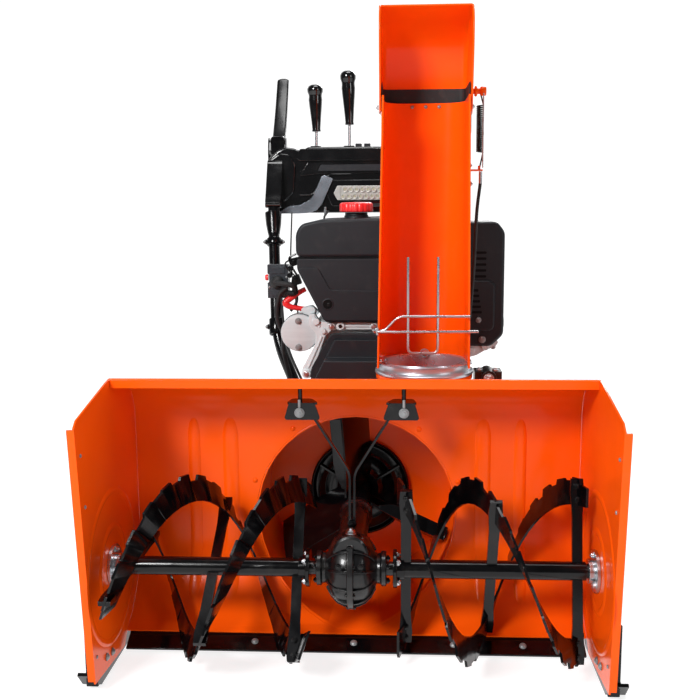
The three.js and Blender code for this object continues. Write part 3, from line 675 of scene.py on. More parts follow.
def housing_fasteners():
    """Pressed rings in the side plates, and the rivets and bolts of the housing."""
    inner = high("housing_wrap").x / MM
    reliefs, bolts, rivets = Shape(), Shape(), Shape()
    plate_in, plate_out, shoe_out = 433, 436.4, 441.9
    for sign in (-1, 1):
        for radius, width, rise in ((70, 8, 2.0), (136, 7, 1.6)):
            hump = ((-1, 0), (-0.5, rise * 0.6), (0, rise), (0.5, rise * 0.6), (1, 0), (1, -0.8), (-1, -0.8))
            section = [(radius + width * a, h) for a, h in hump]
            reliefs.turned(around_auger(sign * (inner + 0.2), 0, 0), -X * sign, section, 64)
        for y, z in ((-18, 430), (-8, 340), (12, 66)):
            rivets.bolt(at(sign * plate_in, y, z), -X * sign, 2.0, washer=False, dome=True)
            bolts.bolt(at(sign * plate_out, y, z), X * sign, 3.2)
        for y, z in ((64, 40), (96, 34)):
            rivets.bolt(at(sign * plate_in, y, z), -X * sign, 3.4, dome=True)
        for y, z in ((300, 250), (300, 350), (240, 498), (200, 508), (276, 110)):
            bolts.bolt(at(sign * plate_out, y, z), X * sign, 3.0)
        for degrees in (90, 210, 330):
            bolts.bolt(around_auger(sign * (inner - 6), 30, degrees), -X * sign, 3.2)
            bolts.bolt(around_auger(sign * plate_out, 30, degrees), X * sign, 3.2)
        for y in (84, 176):
            bolts.bolt(at(sign * shoe_out, y, 66), X * sign, 5)
    for x in (-314, -186, 0, 186, 314):
        rivets.bolt(at(x, 178, 17.5), (0, -0.42, 0.9), 4.0, dome=True)
    for x in (-42, 35):
        rivets.bolt(at(x, 186, 508.6), -Z, 2.8, dome=True)
    drum_rim = 209
    for degrees in (18, 54, 126, 162):
        a = math.radians(degrees)
        spot = at(drum_rim * math.cos(a), 305, 230 + drum_rim * math.sin(a))
        if spot.z < 400 * MM:
            reliefs.bolt(spot, -Y, 3.0, washer=False, dome=True)
    reliefs.piece("side_plate_reliefs", CHASSIS, ORANGE, 0, smooth=60)
    rivets.piece("housing_rivets", CHASSIS, DULL_ZINC, 0.2)
    bolts.piece("housing_bolts", CHASSIS, ZINC, 0.3)


def support_straps():
    """Two straps that hang the gearbox from the housing's top, with their brackets and bolts."""
    straps, nuts = Shape(), Shape()
    for sign in (-1, 1):
        face = [(66, 482), (112, 482), (120, 455), (118, 451), (58, 451), (57, 456)]
        face = [(sign * x, z) for x, z in face]
        plate(straps, face, 157, 161, 5)
        shelf = [(sign * x, y) for x, y in ((60, 160), (116, 160), (110, 196), (74, 196))]
        level_plate(straps, shelf, 478, 482, 6)
        path = [at(sign * 80, 166, 474), at(sign * 4.2, 165, 352), at(sign * 4.2, 154, 258)]
        straps.strip(smooth_path(path, 12, 5), Y, 12, 4.2)
        straps.disc(at(sign * 93, 172, 482), Z, 4, 26.4, 16, 0.4)
        nuts.bolt(at(sign * 93, 157, 464), -Y, 4.4)
        nuts.disc(at(sign * 93, 156, 474), Z, 2.6, 14, 14, 0.5)
        nuts.bolt(at(sign * 93, 172, 478), -Z, 5.0)
    straps.bolt(at(0, 150, 262), -Y, 4)
    straps.piece("gearbox_support_straps", CHASSIS, BLACK_PAINT, 0.6,
                 stands_for=["support_strap_left", "support_strap_right"])
    nuts.piece("support_strap_bolts", CHASSIS, DULL_ZINC, 0.3)


# ---- Chute ----

TURN = PIVOT["chute_turn"]
TURRET = "chute_turret"
TURN_X, TURN_Y = TURN.x / MM, (TURN.y - FRONT_Y) / MM
BACK, FRONT = 87, -79


def by_chute(x, y, z):
    """A place in mm from the chute's turning axis and up from the floor."""
    return Vector((TURN.x + x * MM, TURN.y + y * MM, z * MM))


def channel(half, back, front, corner, steps=8):
    """A U seen from above, from the front left edge round the back to the front right edge."""
    left = arc((-half + corner, back - corner), corner, 180, 90, steps)
    right = arc((half - corner, back - corner), corner, 90, 0, steps)
    sides = 5
    side = back - corner - front
    down = [(-half, front + side * i / sides) for i in range(sides)]
    up = [(half, front + side * (sides - 1 - i) / sides) for i in range(sides)]
    return down + left + right + up


def chute():
    """The tapering channel on its turning ring, with the liner, bolts, rivets and the wire guard."""
    base, top = 516, high("chute").z / MM
    rows = []
    for i in range(19):
        t = i / 18
        outline = channel(87.7 - 7.5 * t, BACK - 1.5, FRONT + 2, 60 - 16 * t)
        rows.append([by_chute(x - 3 * (1 - t), y, base + (top - base) * t) for x, y in outline])
    body = Shape().sheet(rows, 2.6)
    for column in (0, -1):
        body.tube([row[column] for row in rows], 2.1, 10)
    shelf = [(TURN_X + x, TURN_Y + y) for x, y in ((80, -2), (113, 6), (113, 24), (80, 30))]
    level_plate(body, shelf, 892.6, 896, 5)
    hook = [(TURN_X + x, z) for x, z in ((104, 893), (104, 903), (108, 903), (108, 893))]
    plate(body, hook, TURN_Y + 8, TURN_Y + 20, 0)
    lug = [(TURN_Y + y, z) for y, z in ((4, 856), (28, 856), (26, 914), (8, 914))]
    side_plate(body, lug, TURN_X + 81, TURN_X + 87, 5)
    body.piece("chute_channel", TURRET, ORANGE, 0, smooth=50, stands_for=["chute"])

    centre = by_chute(0, 0, base)
    section = [(85, -21), (97, -21), (98.5, -19), (98.5, -15), (97, -13.4), (93, -12), (91.5, -9), (92.5, 0),
               (95, 2.2), (94.5, 3.4), (91, 3.2), (86, 0.6), (85, -0.4)]
    ring = Shape().turned(centre, Z, section, 80)
    ring.piece("chute_turning_ring", TURRET, CHROME, 0.5, smooth=40, stands_for=["chute_ring"])
    section = [(84.8, 1.4), (84.8, -20), (83.4, -21), (83.4, -29), (81.6, -29), (81.6, -8), (82.6, 0.4),
               (84.4, 2.2)]
    Shape().turned(centre + Z * 2 * MM, Z, section, 72).piece("chute_ring_liner", TURRET, CHROME, 0.3)
    bolts, rivets = Shape(), Shape()
    out = Vector((math.cos(math.radians(-92)), math.sin(math.radians(-92)), 0))
    bolts.bolt(centre - out * 78 * MM + Z * 5 * MM, Z * 0.5 + out, 4.6, dome=True)
    for degrees in (-160, -20):
        out = Vector((math.cos(math.radians(degrees)), math.sin(math.radians(degrees)), 0))
        bolts.bolt(centre + out * 92 * MM + Z * MM, Z, 3.8)
    bolts.piece("chute_bolts", TURRET, ZINC, 0.3)
    for x in (-24, 3, 30):
        rivets.bolt(by_chute(x, BACK - 3, 1023), -Y, 2.2, washer=False, dome=True)
    rivets.piece("flap_rivets", TURRET, DULL_ZINC, 0)
    chute_guard()


def chute_guard():
    """Bent wires across the chute's mouth, held by a tab."""
    wires, tab = Shape(), Shape()
    y = (middle("chute_guard").y - FRONT_Y) / MM
    foot, top = low("chute_guard").z / MM + 2.6, high("chute_guard").z / MM
    wire = 2.8
    bar(wires, [(101, y, top), (101, y, foot), (158, y, foot), (158, y, top)], 11, wire, 12)
    bar(wires, [(44, y, 588), (58, y - 0.5, 592), (82, y - 4.5, 618), (219, y - 4.5, 618)], 12, wire, 12)
    wires.tube([at(42, y - 4.8, 588), at(235, y - 4.8, 589)], wire, 12)
    wires.piece("chute_guard_wires", TURRET, ZINC, 0.4, stands_for=["chute_guard"])
    tab.box(at(40, y - 3, 582), at(44, y + 16, 596))
    tab.bolt(at(40, y + 9, 589), -X, 3)
    tab.piece("chute_guard_tab", TURRET, ZINC, 0.5)


def hood_row(back, front, half=86.2):
    """One row of the hood, round its bent corners from the left front edge, by (y, z) at back and front."""
    rear, edge = Vector(back), Vector(front)
    length, lean = (rear - edge).length, (rear - edge).normalized()
    bend = min(14, length * 0.4)
    row = [(-half, *(edge + lean * ((length - bend) * k / 6))) for k in range(7)]
    for k in range(1, 6):
        a = math.radians(90 * k / 5)
        row.append((-half + bend * (1 - math.cos(a)), *(edge + lean * (length - bend + bend * math.sin(a)))))
    return row + [(-x, y, z) for x, y, z in reversed(row)]


def deflector():
    """Curved hood over the chute's top, with hemmed edges, pivots, a knob, a coil spring and its flap."""
    hinge = PIVOT["deflector_tilt"]
    foot = low("deflector").z / MM
    back = [(90.5, 0), (90.5, 20), (90.5, 40), (90.4, 58), (87, 82), (81, 104), (70, 128), (54, 146),
            (34, 162), (12, 174), (-18, 184), (-47, 189.5)]
    front = [(-47, 0), (-51, 20), (-56, 40), (-60, 58), (-66, 82), (-71, 104), (-74, 126), (-75, 142),
             (-74, 156), (-71, 167), (-64, 178), (-56, 187)]
    rows = [[by_chute(x, y, foot + z) for x, y, z in hood_row(*ends)] for ends in zip(back, front)]
    hood = Shape().sheet(rows, 2.2)
    for hem in ([row[0] for row in rows], [row[-1] for row in rows], rows[-1]):
        hood.tube(hem, 1.8, 10)
    knob = at(220.2, 414, 1045)
    for along, radius, length, sides, chamfer in (
            (0, 5.5, 31.6, 20, 1), (9, 10, 5, 24, 1.2), (20, 9, 11.6, 24, 1.4)):
        hood.disc(knob + X * along * MM, X, radius, length, sides, chamfer)
    ear = [(386, 1000), (430, 1000), (432, 1062), (404, 1072), (386, 1050)]
    side_plate(hood, ear, TURN_X + 87.2, TURN_X + 90, 10)
    hood.piece("deflector_hood_sheet", "deflector_hood", ORANGE, 0, smooth=50, stands_for=["deflector"])
    pins, washers, guides = Shape(), Shape(), Shape()
    for sign in (-1, 1):
        spot = hinge + X * (sign * 87.5 * MM)
        washers.disc(spot, X * sign, 12, 2.4, 28, 0.5)
        pins.bolt(spot + X * sign * 2.4 * MM, X * sign, 2.8, washer=False)
        strip = [(322, 960), (330, 960), (332, 1000), (324, 1000)]
        side_plate(guides, strip, TURN_X + sign * 82.2, TURN_X + sign * 83.8, 3)
    washers.piece("deflector_washers", "deflector_hood", WHITE_NYLON, 0.2)
    pins.piece("deflector_pivot_bolts", "deflector_hood", ZINC, 0.2)
    guides.piece("deflector_side_guides", TURRET, WHITE_NYLON, 0.4)
    outline = channel(83.2, BACK + 1.6, -34, 14, 6)
    rows = [[by_chute(x, y, z) for x, y in outline] for z in (1009, 1020, 1034, 1046, 1058)]
    flap = Shape().sheet(rows, 1.6)
    made = flap.piece("deflector_flap_rubber", None, RUBBER, 0, smooth=50, stands_for=["deflector_flap"])
    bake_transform(made)
    deflector_cable()


def deflector_cable():
    """The coil spring and the cable that tilt the hood, with the cable's end and its sleeve."""
    foot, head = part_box("deflector_spring")
    centre = middle("deflector_spring")
    start, end = Vector((centre.x, centre.y, foot.z)), Vector((centre.x, centre.y, head.z + 2 * MM))
    turns, per_turn, coil_radius = 24, 14, 6.4 * MM
    lowest, highest = foot.z + 30 * MM, head.z - 20 * MM
    coil = []
    for i in range(turns * per_turn + 1):
        a = math.tau * i / per_turn
        coil.append(Vector((centre.x + coil_radius * math.cos(a), centre.y + coil_radius * math.sin(a),
                            lowest + (highest - lowest) * i / (turns * per_turn))))
    spring = Shape().tube([start, *coil, end], 1.5, 8)
    made = spring.piece("deflector_coil_spring", None, BLACK_PAINT, 0, smooth=60,
                        stands_for=["deflector_spring"])
    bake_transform(made)
    run = [Vector((centre.x + 5 * MM, centre.y - 12 * MM, z * MM)) for z in (1040, 1010, 980, 950, 925, 899)]
    made = Shape().tube(run, 1.3, 8).piece("deflector_cable", None, ZINC, 0, smooth=60)
    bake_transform(made)
    entry = Vector((centre.x + 1 * MM, centre.y - 12 * MM, 868 * MM))
    ends = Shape().disc(entry, Z, 3.4, 24, 16, 0.6)
    ends.bolt(at(221, 415, 868), X, 3.0)
    ends.bolt(at(221, 415, 904), X, 2.4)
    ends.piece("deflector_cable_end", TURRET, ZINC, 0.3)
    path = [entry + Z * 2 * MM, at(236, 404, 820), at(232, 410, 700), at(226, 430, 600)]
    Shape().tube(smooth_path(path, 30), 3.4, 10).piece("deflector_cable_sleeve", TURRET, RUBBER, 0, smooth=60)


def chute_drive():
    """Worm housing beside the ring, with its bolts."""
    dress(CAST_BLACK, 1.6, "chute_drive_bracket")
    one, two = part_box("chute_drive_bracket")
    centre = middle("chute_drive_bracket")
    bolts = Shape()
    bolts.bolt((two.x - 12 * MM, one.y + 20 * MM, two.z - 6 * MM), Z, 4)
    bolts.bolt((one.x + 10 * MM, one.y + 24 * MM, two.z - 6 * MM), Z, 4)
    bolts.bolt((centre.x, one.y, centre.z), -Y, 5)
    bolts.piece("chute_drive_bolts", CHASSIS, ZINC, 0.3)


# ---- Engine ----

def shroud():
    """The moulded cowl with its front panel and screw, and the fuel tank with its seam, neck and cap."""
    plates("engine_shroud_shell", PLASTIC, [
        ([(-139, 714), (-139, 690), (-80, 575), (96, 575), (96, 714)], 569, 800, 7)],
        3, 3, 34, ["engine_shroud"])
    plates("engine_shroud_panel", PLASTIC, [
        ([(-135, 690), (-132, 693), (-92, 693), (-66, 645), (93, 643), (93, 578), (-78, 578)],
         566.4, 572, 6)],
        1.6, 3, 34)
    rim = [(12.5, -0.6), (13.5, 0.2), (13.5, 3), (9, 3), (9, 0.6), (11, -1.1)]
    Shape().turned(at(-72, 566.2, 614), Y, rim).piece("shroud_screw_boss", CHASSIS, PLASTIC, 0.3)
    # A thin near-black disc inside the boss's rim paints the shade of the screw's recess.
    Shape().disc(at(-72, 566.6, 614), -Y, 11.4, 0.9).piece("shroud_screw_recess_shade", CHASSIS, SOOT, 0.1)
    bolted("shroud_screw", BLACK_PAINT, 568, [(-71, 613)], 2.6, 0.2, washer=False)

    plates("fuel_tank_shell", PLASTIC, [
        ([(-141, 717), (-141, 768), (-129, 788), (-90, 797), (120, 803), (152, 800), (166, 776), (166, 717)],
         566, 800, 14)],
        7, 4, 34, ["fuel_tank"])
    plates("fuel_tank_seam", GLOSS_PLASTIC, [
        ([(-137, 712.4), (-137, 718.4), (163, 718.4), (163, 712.4)], 570, 797, 2)], 0.5, slot="black_plastic")
    neck = [(30, 0), (27, 6), (27, 10), (25, 12), (25, 17), (21, 17), (21, 0)]
    Shape().turned(at(-12, 640, 794), Z, neck, 40).piece("fuel_filler_neck", CHASSIS, PLASTIC, 0.6)
    cap = []
    for radius, height in ((35, 0), (37, 1.2), (37.4, 4), (37, 16), (35.5, 19), (31, 21), (20, 21.4)):
        depth = 1.5 if radius > 32 else 0
        ring = []
        for i in range(144):
            angle = math.tau * i / 144
            reach = radius - depth * max(0, math.cos(18 * angle))
            x, y = reach * math.cos(angle), reach * math.sin(angle)
            ring.append(at(-12 + x, 640 + y, 812.6 + height))
        cap.append(ring)
    Shape().rings(cap).piece("fuel_cap_red", "cap", RED, 0, smooth=60, stands_for=["fuel_cap"])


def castings():
    """The alloy block's front flange with its bosses and bolts, and the belt cover under it."""
    dress(CASTING, 1.6, "engine_block", smooth=30)
    plates("engine_front_flange", CASTING, [
        ([(-62, 572), (-92, 574), (-104, 592), (-116, 590), (-118, 566), (-100, 544), (-104, 520),
          (-134, 466), (-132, 448), (-114, 446), (-106, 466), (-80, 541), (-64, 555), (60, 555), (60, 572)],
         588, 606.5, 6)],
        2.2, 3, 30)
    raised = Shape()
    for (x0, z0), (x1, z1) in (((-56, 564), (60, 564)), ((-88, 540), (-119, 470)), ((-106, 586), (-92, 562))):
        raised.tube([at(x0, 588, z0), at(x1, 588, z1)], 3.2, 12)
    for x, z, r in (
            (-66, 564, 8), (-46, 564, 9), (-123, 457, 10), (28, 563, 8), (-100, 574, 8), (-84, 553, 6)):
        raised.disc(at(x, 580, z), Y, r, 14, 24, 1.2)
    raised.piece("engine_bosses", CHASSIS, CASTING, 0.5)
    bolted("engine_flange_bolts", ZINC, 580, [(-66, 564), (-123, 457), (28, 563)], 3.0)
    # A thin black disc on the open boss's face paints the shade inside its bore.
    Shape().disc(at(-46, 579.6, 564), -Y, 4.2, 0.8, 20).piece("engine_boss_bore_shade", CHASSIS, CAST_BLACK, 0)
    plates("belt_cover_back", PLASTIC, [
        ([(-66, 550), (-112, 470), (-112, 300), (-96, 118), (96, 118), (112, 300), (112, 470), (66, 550)],
         566, 578, 10)],
        2, 3)
    dress(PLASTIC, 5, "belt_cover", smooth=30)
    bolted("belt_cover_screws", ZINC, 497, [(-82, 440), (82, 440), (-84, 150), (84, 150)], 3.0)


def starter():
    """The starter motor, its switch box with the red button, the cable and lead, and the governor's rods."""
    x0, z0 = -139, 546
    centre = at(x0, 600, z0)
    cap = [(0, 0), (37, 0), (41, 1.4), (42, 4), (42, 9), (0, 9)]
    Shape().turned(centre, Y, cap, 56).piece("starter_end_cap", CHASSIS, BRUSHED, 0.4, smooth=30)
    body = Shape()
    profile = [(0, 9), (41, 9), (43, 11), (43, 34), (38, 38), (38, 110), (33, 120), (0, 120)]
    body.turned(centre, Y, profile, 56)
    for degrees in range(-60, 61, 12):
        angle = math.radians(degrees)
        out = Vector((math.cos(angle), 0, math.sin(angle))) * 42.6 * MM
        body.tube([at(x0, 612, z0) + out, at(x0, 632, z0) + out], 1.6, 8)
    body.piece("starter_body", CHASSIS, BLACK_PAINT, 0.5, smooth=30, stands_for=["starter_motor"])
    bolted("starter_bolts", DULL_ZINC, 600, [(-141, 573), (-141, 514)], 3.6)

    notch = [(-213, 656), (-209.6, 657), (-209.6, 675), (-213, 676)]
    plates("switch_box_case", DARK_GREY, [
        ([(-213, 621), *notch, (-213, 697), (-166, 697), (-166, 621)], 633, 655, 2),
        ([(-211, 624), (-211, 656), *notch[1:3], (-211, 676), (-211, 694), (-168, 694), (-168, 624)],
         658, 684, 1.5),
        ([(-206, 676), (-206, 692), (-173, 692), (-173, 676)], 630.8, 640, 3),
        ([(-206, 626), (-206, 640), (-173, 640), (-173, 626)], 630.8, 640, 3)],
        1.8, 3, stands_for=["starter_switch_box"])
    plug = Shape()
    plate(plug, [(-209, 626), (-209, 692), (-170, 692), (-170, 626)], 650, 662, 3)
    plug.turned(at(-191, 634, 657), -Y, [(0, 0), (15, 0), (15, 6), (12, 12), (8, 16), (0, 17)], 28)
    plug.piece("switch_box_plug", CHASSIS, RUBBER, 0.5)
    bolted("switch_box_screws", DULL_ZINC, 633, [(-209, 646), (-170, 668)], 1.6, 0, washer=False, dome=True)
    one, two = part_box("starter_button")
    radius = (two.z - one.z) / 2 / MM
    face = [(0, 0), (radius, 0), (radius, 4.4), (radius * 0.8, 6.8), (0, 7.4)]
    button = Shape().turned((two.x, (one.y + two.y) / 2, (one.z + two.z) / 2), -X, face, 28)
    button.piece("starter_button_red", "start_switch", RED, 0.4, stands_for=["starter_button"])

    cable = Shape()
    bar(cable, [(-191, 620, 657), (-172, 610, 655), (-150, 610, 652), (-148, 626, 632), (-168, 622, 634)],
        12, 6.4, 12)
    bar(cable, [(-168, 618, 646), (-184, 616, 634), (-192, 616, 600), (-190, 620, 570), (-178, 634, 540),
                (-184, 660, 500), (-174, 700, 430)], 24, 5.4, 12)
    bar(cable, [(-150, 640, 650), (-146, 632, 612), (-162, 640, 592)], 14, 3.4, 10)
    cable.piece("starter_cable", CHASSIS, RUBBER, 0, smooth=60)
    route = [(-128, 640, 641), (-146, 636, 632), (-176, 630, 611), (-164, 630, 602), (-128, 632, 596)]
    path = smooth_path([at(*point) for point in route], 12)
    swell = [5.6 + 2.0 * math.sin(math.pi * i / (len(path) - 1)) for i in range(len(path))]
    Shape().tube(path, 0, 14, radii=swell).piece("starter_lead_boot", CHASSIS, RED, 0, smooth=60)
    lead = bar(Shape(), [(-128, 632, 596), (-118, 640, 588), (-112, 690, 580)], 10, 3.4, 10)
    lead.piece("starter_lead", CHASSIS, RED, 0, smooth=60)

    rods = Shape()
    plate(rods, [(-152, 694), (-159, 702), (-156, 712), (-140, 716), (-136, 700)], 600, 604, 3)
    plate(rods, [(-148, 652), (-156, 658), (-154, 672), (-140, 678), (-132, 656)], 604, 618, 3)
    rods.bolt(at(-150, 600, 705), -Y, 2.4)
    rods.bolt(at(-146, 604, 666), -Y, 2.4)
    for x, z in ((-158, 690), (-150, 640), (-160, 674)):
        rods.disc(at(x, 612, z), Y, 6, 14, 16, 1.4)
    bar(rods, [(-160, 602, 708), (-170, 608, 702), (-168, 616, 690), (-148, 618, 672)], 8, 1.8)
    bar(rods, [(-148, 640, 720), (-166, 640, 712), (-158, 640, 690), (-144, 640, 668)], 8, 2.4)
    rods.piece("governor_linkage", CHASSIS, BLACK_PAINT, 0.4)
    mount = Shape()
    plate(mount, [(-112, 606), (-136, 600), (-134, 590), (-110, 578), (-94, 590)], 612, 640, 4)
    mount.disc(at(-112, 606, 596), Y, 9, 10, 24, 1)
    mount.piece("starter_mount", CHASSIS, CASTING, 1.6, 3)


def muffler():
    """Moulded guard over the silencer: rounded shell, a raised box, dark bars that paint the shade of its
    slot openings, screws, a stay and the outlet.
    """
    plates("muffler_guard_shell", PLASTIC, [
        ([(196, 517), (286, 517), (313, 543), (313, 768), (296, 790), (196, 790)], 594, 744, 9)],
        9, 5, 34, ["muffler_guard"])
    plates("muffler_guard_step", PLASTIC, [
        ([(226, 552), (226, 663), (292, 663), (292, 552)], 587, 600, 16)], 4, 4, 34)
    # The slot openings are not cut: near-black bars on the guard's face paint the shade inside each opening.
    slot_shades = []
    for k in range(5):
        slot_shades.append((bar_face(244, 273, 672 + 12.9 * k, 2.6), 593.7, 596, 2.4))
    for k in range(5):
        slot_shades.append((bar_face(230, 264 - 2 * k, 594 + 12 * k, 2.6), 586.8, 590, 2))
    plates("muffler_guard_slot_shades", SOOT, slot_shades, 0)
    screws = Shape()
    for x, y, z, size in ((257, 586, 577, 3.0), (266, 592, 533, 3.8), (292, 612, 514, 2.8)):
        screws.bolt(at(x, y, z), -Y, size)
    screws.piece("muffler_bolts", CHASSIS, DULL_ZINC, 0.3)
    stay = Shape()
    plate(stay, [(212, 500), (222, 516), (262, 520), (290, 530), (304, 526), (296, 514), (276, 508),
                 (256, 496), (226, 488)], 606, 640, 4)
    stay.disc(at(274, 600, 516), Y, 9, 12, 20, 1)
    stay.disc(at(244, 602, 506), Y, 7, 12, 20, 1)
    stay.piece("muffler_stay", CHASSIS, CASTING, 1.4)
    pipe = [(0, 0), (13, 0), (13, 22), (11.4, 22), (11.4, 4), (0, 4)]
    Shape().turned(at(300, 690, 560), X, pipe, 28).piece("muffler_outlet", CHASSIS, SOOT, 0.4)


def recoil():
    """The pull starter's ribs and bolts, and a short fixed stretch of its rope at the handle."""
    dress(PLASTIC, 3, "recoil_housing", smooth=30)
    dress(RUBBER, 3, "recoil_handle", smooth=30)
    centre = middle("recoil_housing")
    centre.y = high("recoil_housing").y
    ribs, bolts = Shape(), Shape()
    for k in range(24):
        angle = math.tau * k / 24
        out = Vector((math.cos(angle), 0, math.sin(angle)))
        ribs.tube([centre + out * 22 * MM, centre + out * 48 * MM + Y * 0.2 * MM], 1.7, 8)
    ribs.disc(centre - Y * MM, Y, 16, 4, 32, 1)
    ribs.piece("recoil_ribs", CHASSIS, GLOSS_PLASTIC, 0, slot="black_plastic")
    for degrees in (30, 150, 270):
        angle = math.radians(degrees)
        out = Vector((math.cos(angle), 0, math.sin(angle)))
        bolts.bolt(centre - Y * 16 * MM + out * 72 * MM, Y, 3.6)
    bolts.piece("recoil_bolts", CHASSIS, ZINC, 0.3)
    rope = Shape().tube([at(52, 843 + 0.4 * k, 530) for k in range(17)], 1.8, 8)
    made = rope.piece("recoil_rope", None, RUBBER, 0, smooth=60)
    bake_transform(made)


# ---- Controls ----

def handlebars():
    """Bent tubes with clamps, sleeves at the elbows and ribbed grips."""
    route = ((146, 700, 170), (146, 735, 356), (213, 775, 505), (232, 895, 811), (240, 985, 955),
             (240, 1276, 955))
    grip = [(14.4, 0), (19, 0), (19.6, 2), (19.6, 7)]
    for start in range(10, 150, 7):
        grip += [(17.4, start), (18.3, start + 1.4), (18.3, start + 4.2), (17.4, start + 5.6)]
    grip += [(18.6, 152), (18.6, 163), (16, 166), (14.4, 166)]
    for side, sign in SIDES:
        path = [at(sign * x, y, z) for x, y, z in route]
        foot, head = path[2], path[3]
        tube = Shape().tube(smooth_path(path, 60, 10), 13.6, 20)
        tube.piece(f"handlebar_{side}_tube", CHASSIS, BLACK_PAINT, 0, smooth=60,
                   stands_for=[f"handlebar_{side}"])
        clamps, bolts = Shape(), Shape()
        direction = (head - foot).normalized()
        for share, long in ((0.76, 18), (0.1, 40)):
            centre = foot.lerp(head, share)
            band = [(13.8, 0), (17, 0), (18, 2), (18, long - 2), (17, long), (13.8, long)]
            clamps.turned(centre - direction * long / 2 * MM, direction, band, 28)
            for way in (-X, X):
                clamps.disc(centre + way * 14 * MM, way, 6.5, 8, 20, 1)
                bolts.bolt(centre + way * 22 * MM, way, 2.8, washer=False)
        clamps.tube([foot.lerp(head, share) for share in (0.82, 0.9, 0.99)], 0, 20, radii=[14.5, 19, 21])
        clamps.piece(f"handlebar_{side}_clamps", CHASSIS, BLACK_PAINT, 0.6)
        bolts.piece(f"handlebar_{side}_clamp_bolts", CHASSIS, DULL_ZINC, 0.3)
        rubber = Shape().turned(at(sign * 240, 1120, 955), Y, grip)
        rubber.piece(f"grip_{side}_rubber", CHASSIS, RUBBER, 0, smooth=50, stands_for=[f"grip_{side}"])


def paddle_ring(point, tangent, sign, t):
    """The paddle's rounded section, a share t of the way from its yoke to its tip."""
    up = X.cross(tangent).normalized()
    close = min(1, (1 - t) * 12) ** 0.5
    wide = (17.4 - 2.4 * t) * (0.55 + 0.45 * close)
    thick = (8.5 - 3.5 * t) * (0.5 + 0.5 * close)
    centre = point + X * sign * (3 * math.sin(math.pi * t) + 2 * t) * MM * 0.6
    ring = []
    for k in range(20):
        c, s = math.cos(math.tau * k / 20), math.sin(math.tau * k / 20)
        ring.append(centre + (X * wide * math.copysign(abs(c) ** 0.6, c)
                              + up * thick * math.copysign(abs(s) ** 0.6, s)) * MM)
    return ring


def clutch_levers():
    """Broad hooked paddles over the grips, each on a yoke round its handlebar."""
    route = [(1018, 988), (1048, 1012), (1084, 1050), (1118, 1092), (1144, 1134), (1156, 1157), (1158, 1161),
             (1160, 1165)]
    cheek = [(1000, 940), (1042, 940), (1042, 972), (1032, 1000), (1010, 1000), (1000, 972)]
    shelf = [(211, 1002), (257, 1002), (257, 1040), (211, 1040)]
    for (side, sign), kind in zip(SIDES, ("drive", "auger")):
        pivot = PIVOT[f"{kind}_clutch_squeeze"]
        body = f"{kind}_clutch"
        path = smooth_path([at(sign * 231, y, z) for y, z in route], 30, 5)
        last = len(path) - 1
        paddle = Shape().rings([paddle_ring(point, direction_at(path, i), sign, i / last)
                                for i, point in enumerate(path)])
        paddle.disc((sign * 216.4 * MM, pivot.y, pivot.z), X * sign, 12.4, 29, 32, 1.6)
        paddle.piece(f"clutch_{side}_paddle", body, BLACK_PLASTIC, 0, smooth=50, stands_for=[f"{kind}_lever"])
        pin = Shape()
        pin.bolt((sign * 246.2 * MM, pivot.y, pivot.z), X * sign, 3.6)
        pin.piece(f"clutch_{side}_pin", body, DULL_ZINC, 0.3)
        yoke = Shape()
        for x in (212.4, 255.6):
            side_plate(yoke, cheek, sign * (x - 1.5), sign * (x + 1.5), 9)
        level_plate(yoke, [(sign * x, y) for x, y in shelf], 937, 941, 0)
        front = [(sign * x, z) for x, z in ((214, 946), (214, 1002), (249, 1002), (249, 946))]
        plate(yoke, front, 998, 1003, 7)
        yoke.piece(f"clutch_{side}_yoke", CHASSIS, BLACK_PAINT, 0.8)


def knobbed(name, body, foot, neck, top):
    """A bright rod with a tapered, waisted knob."""
    waist = ((0, 10.5), (0.02, 11.2), (0.05, 10.4), (0.3, 13), (0.55, 16), (0.68, 17.4), (0.75, 16.4),
             (0.79, 16.8), (0.85, 19.6), (0.91, 20), (0.96, 17.5), (0.995, 12))
    Shape().tube([foot, neck], 3.8, 16).piece(f"{name}_rod", body, ZINC, 0, smooth=60)
    length = (top - neck).length / MM
    profile = [(0, -2), *((radius, length * share) for share, radius in waist), (0, length)]
    knob = Shape().turned(neck, top - neck, profile, 28)
    knob.piece(f"{name}_knob", body, GLOSS_PLASTIC, 0, smooth=50, stands_for=[name])


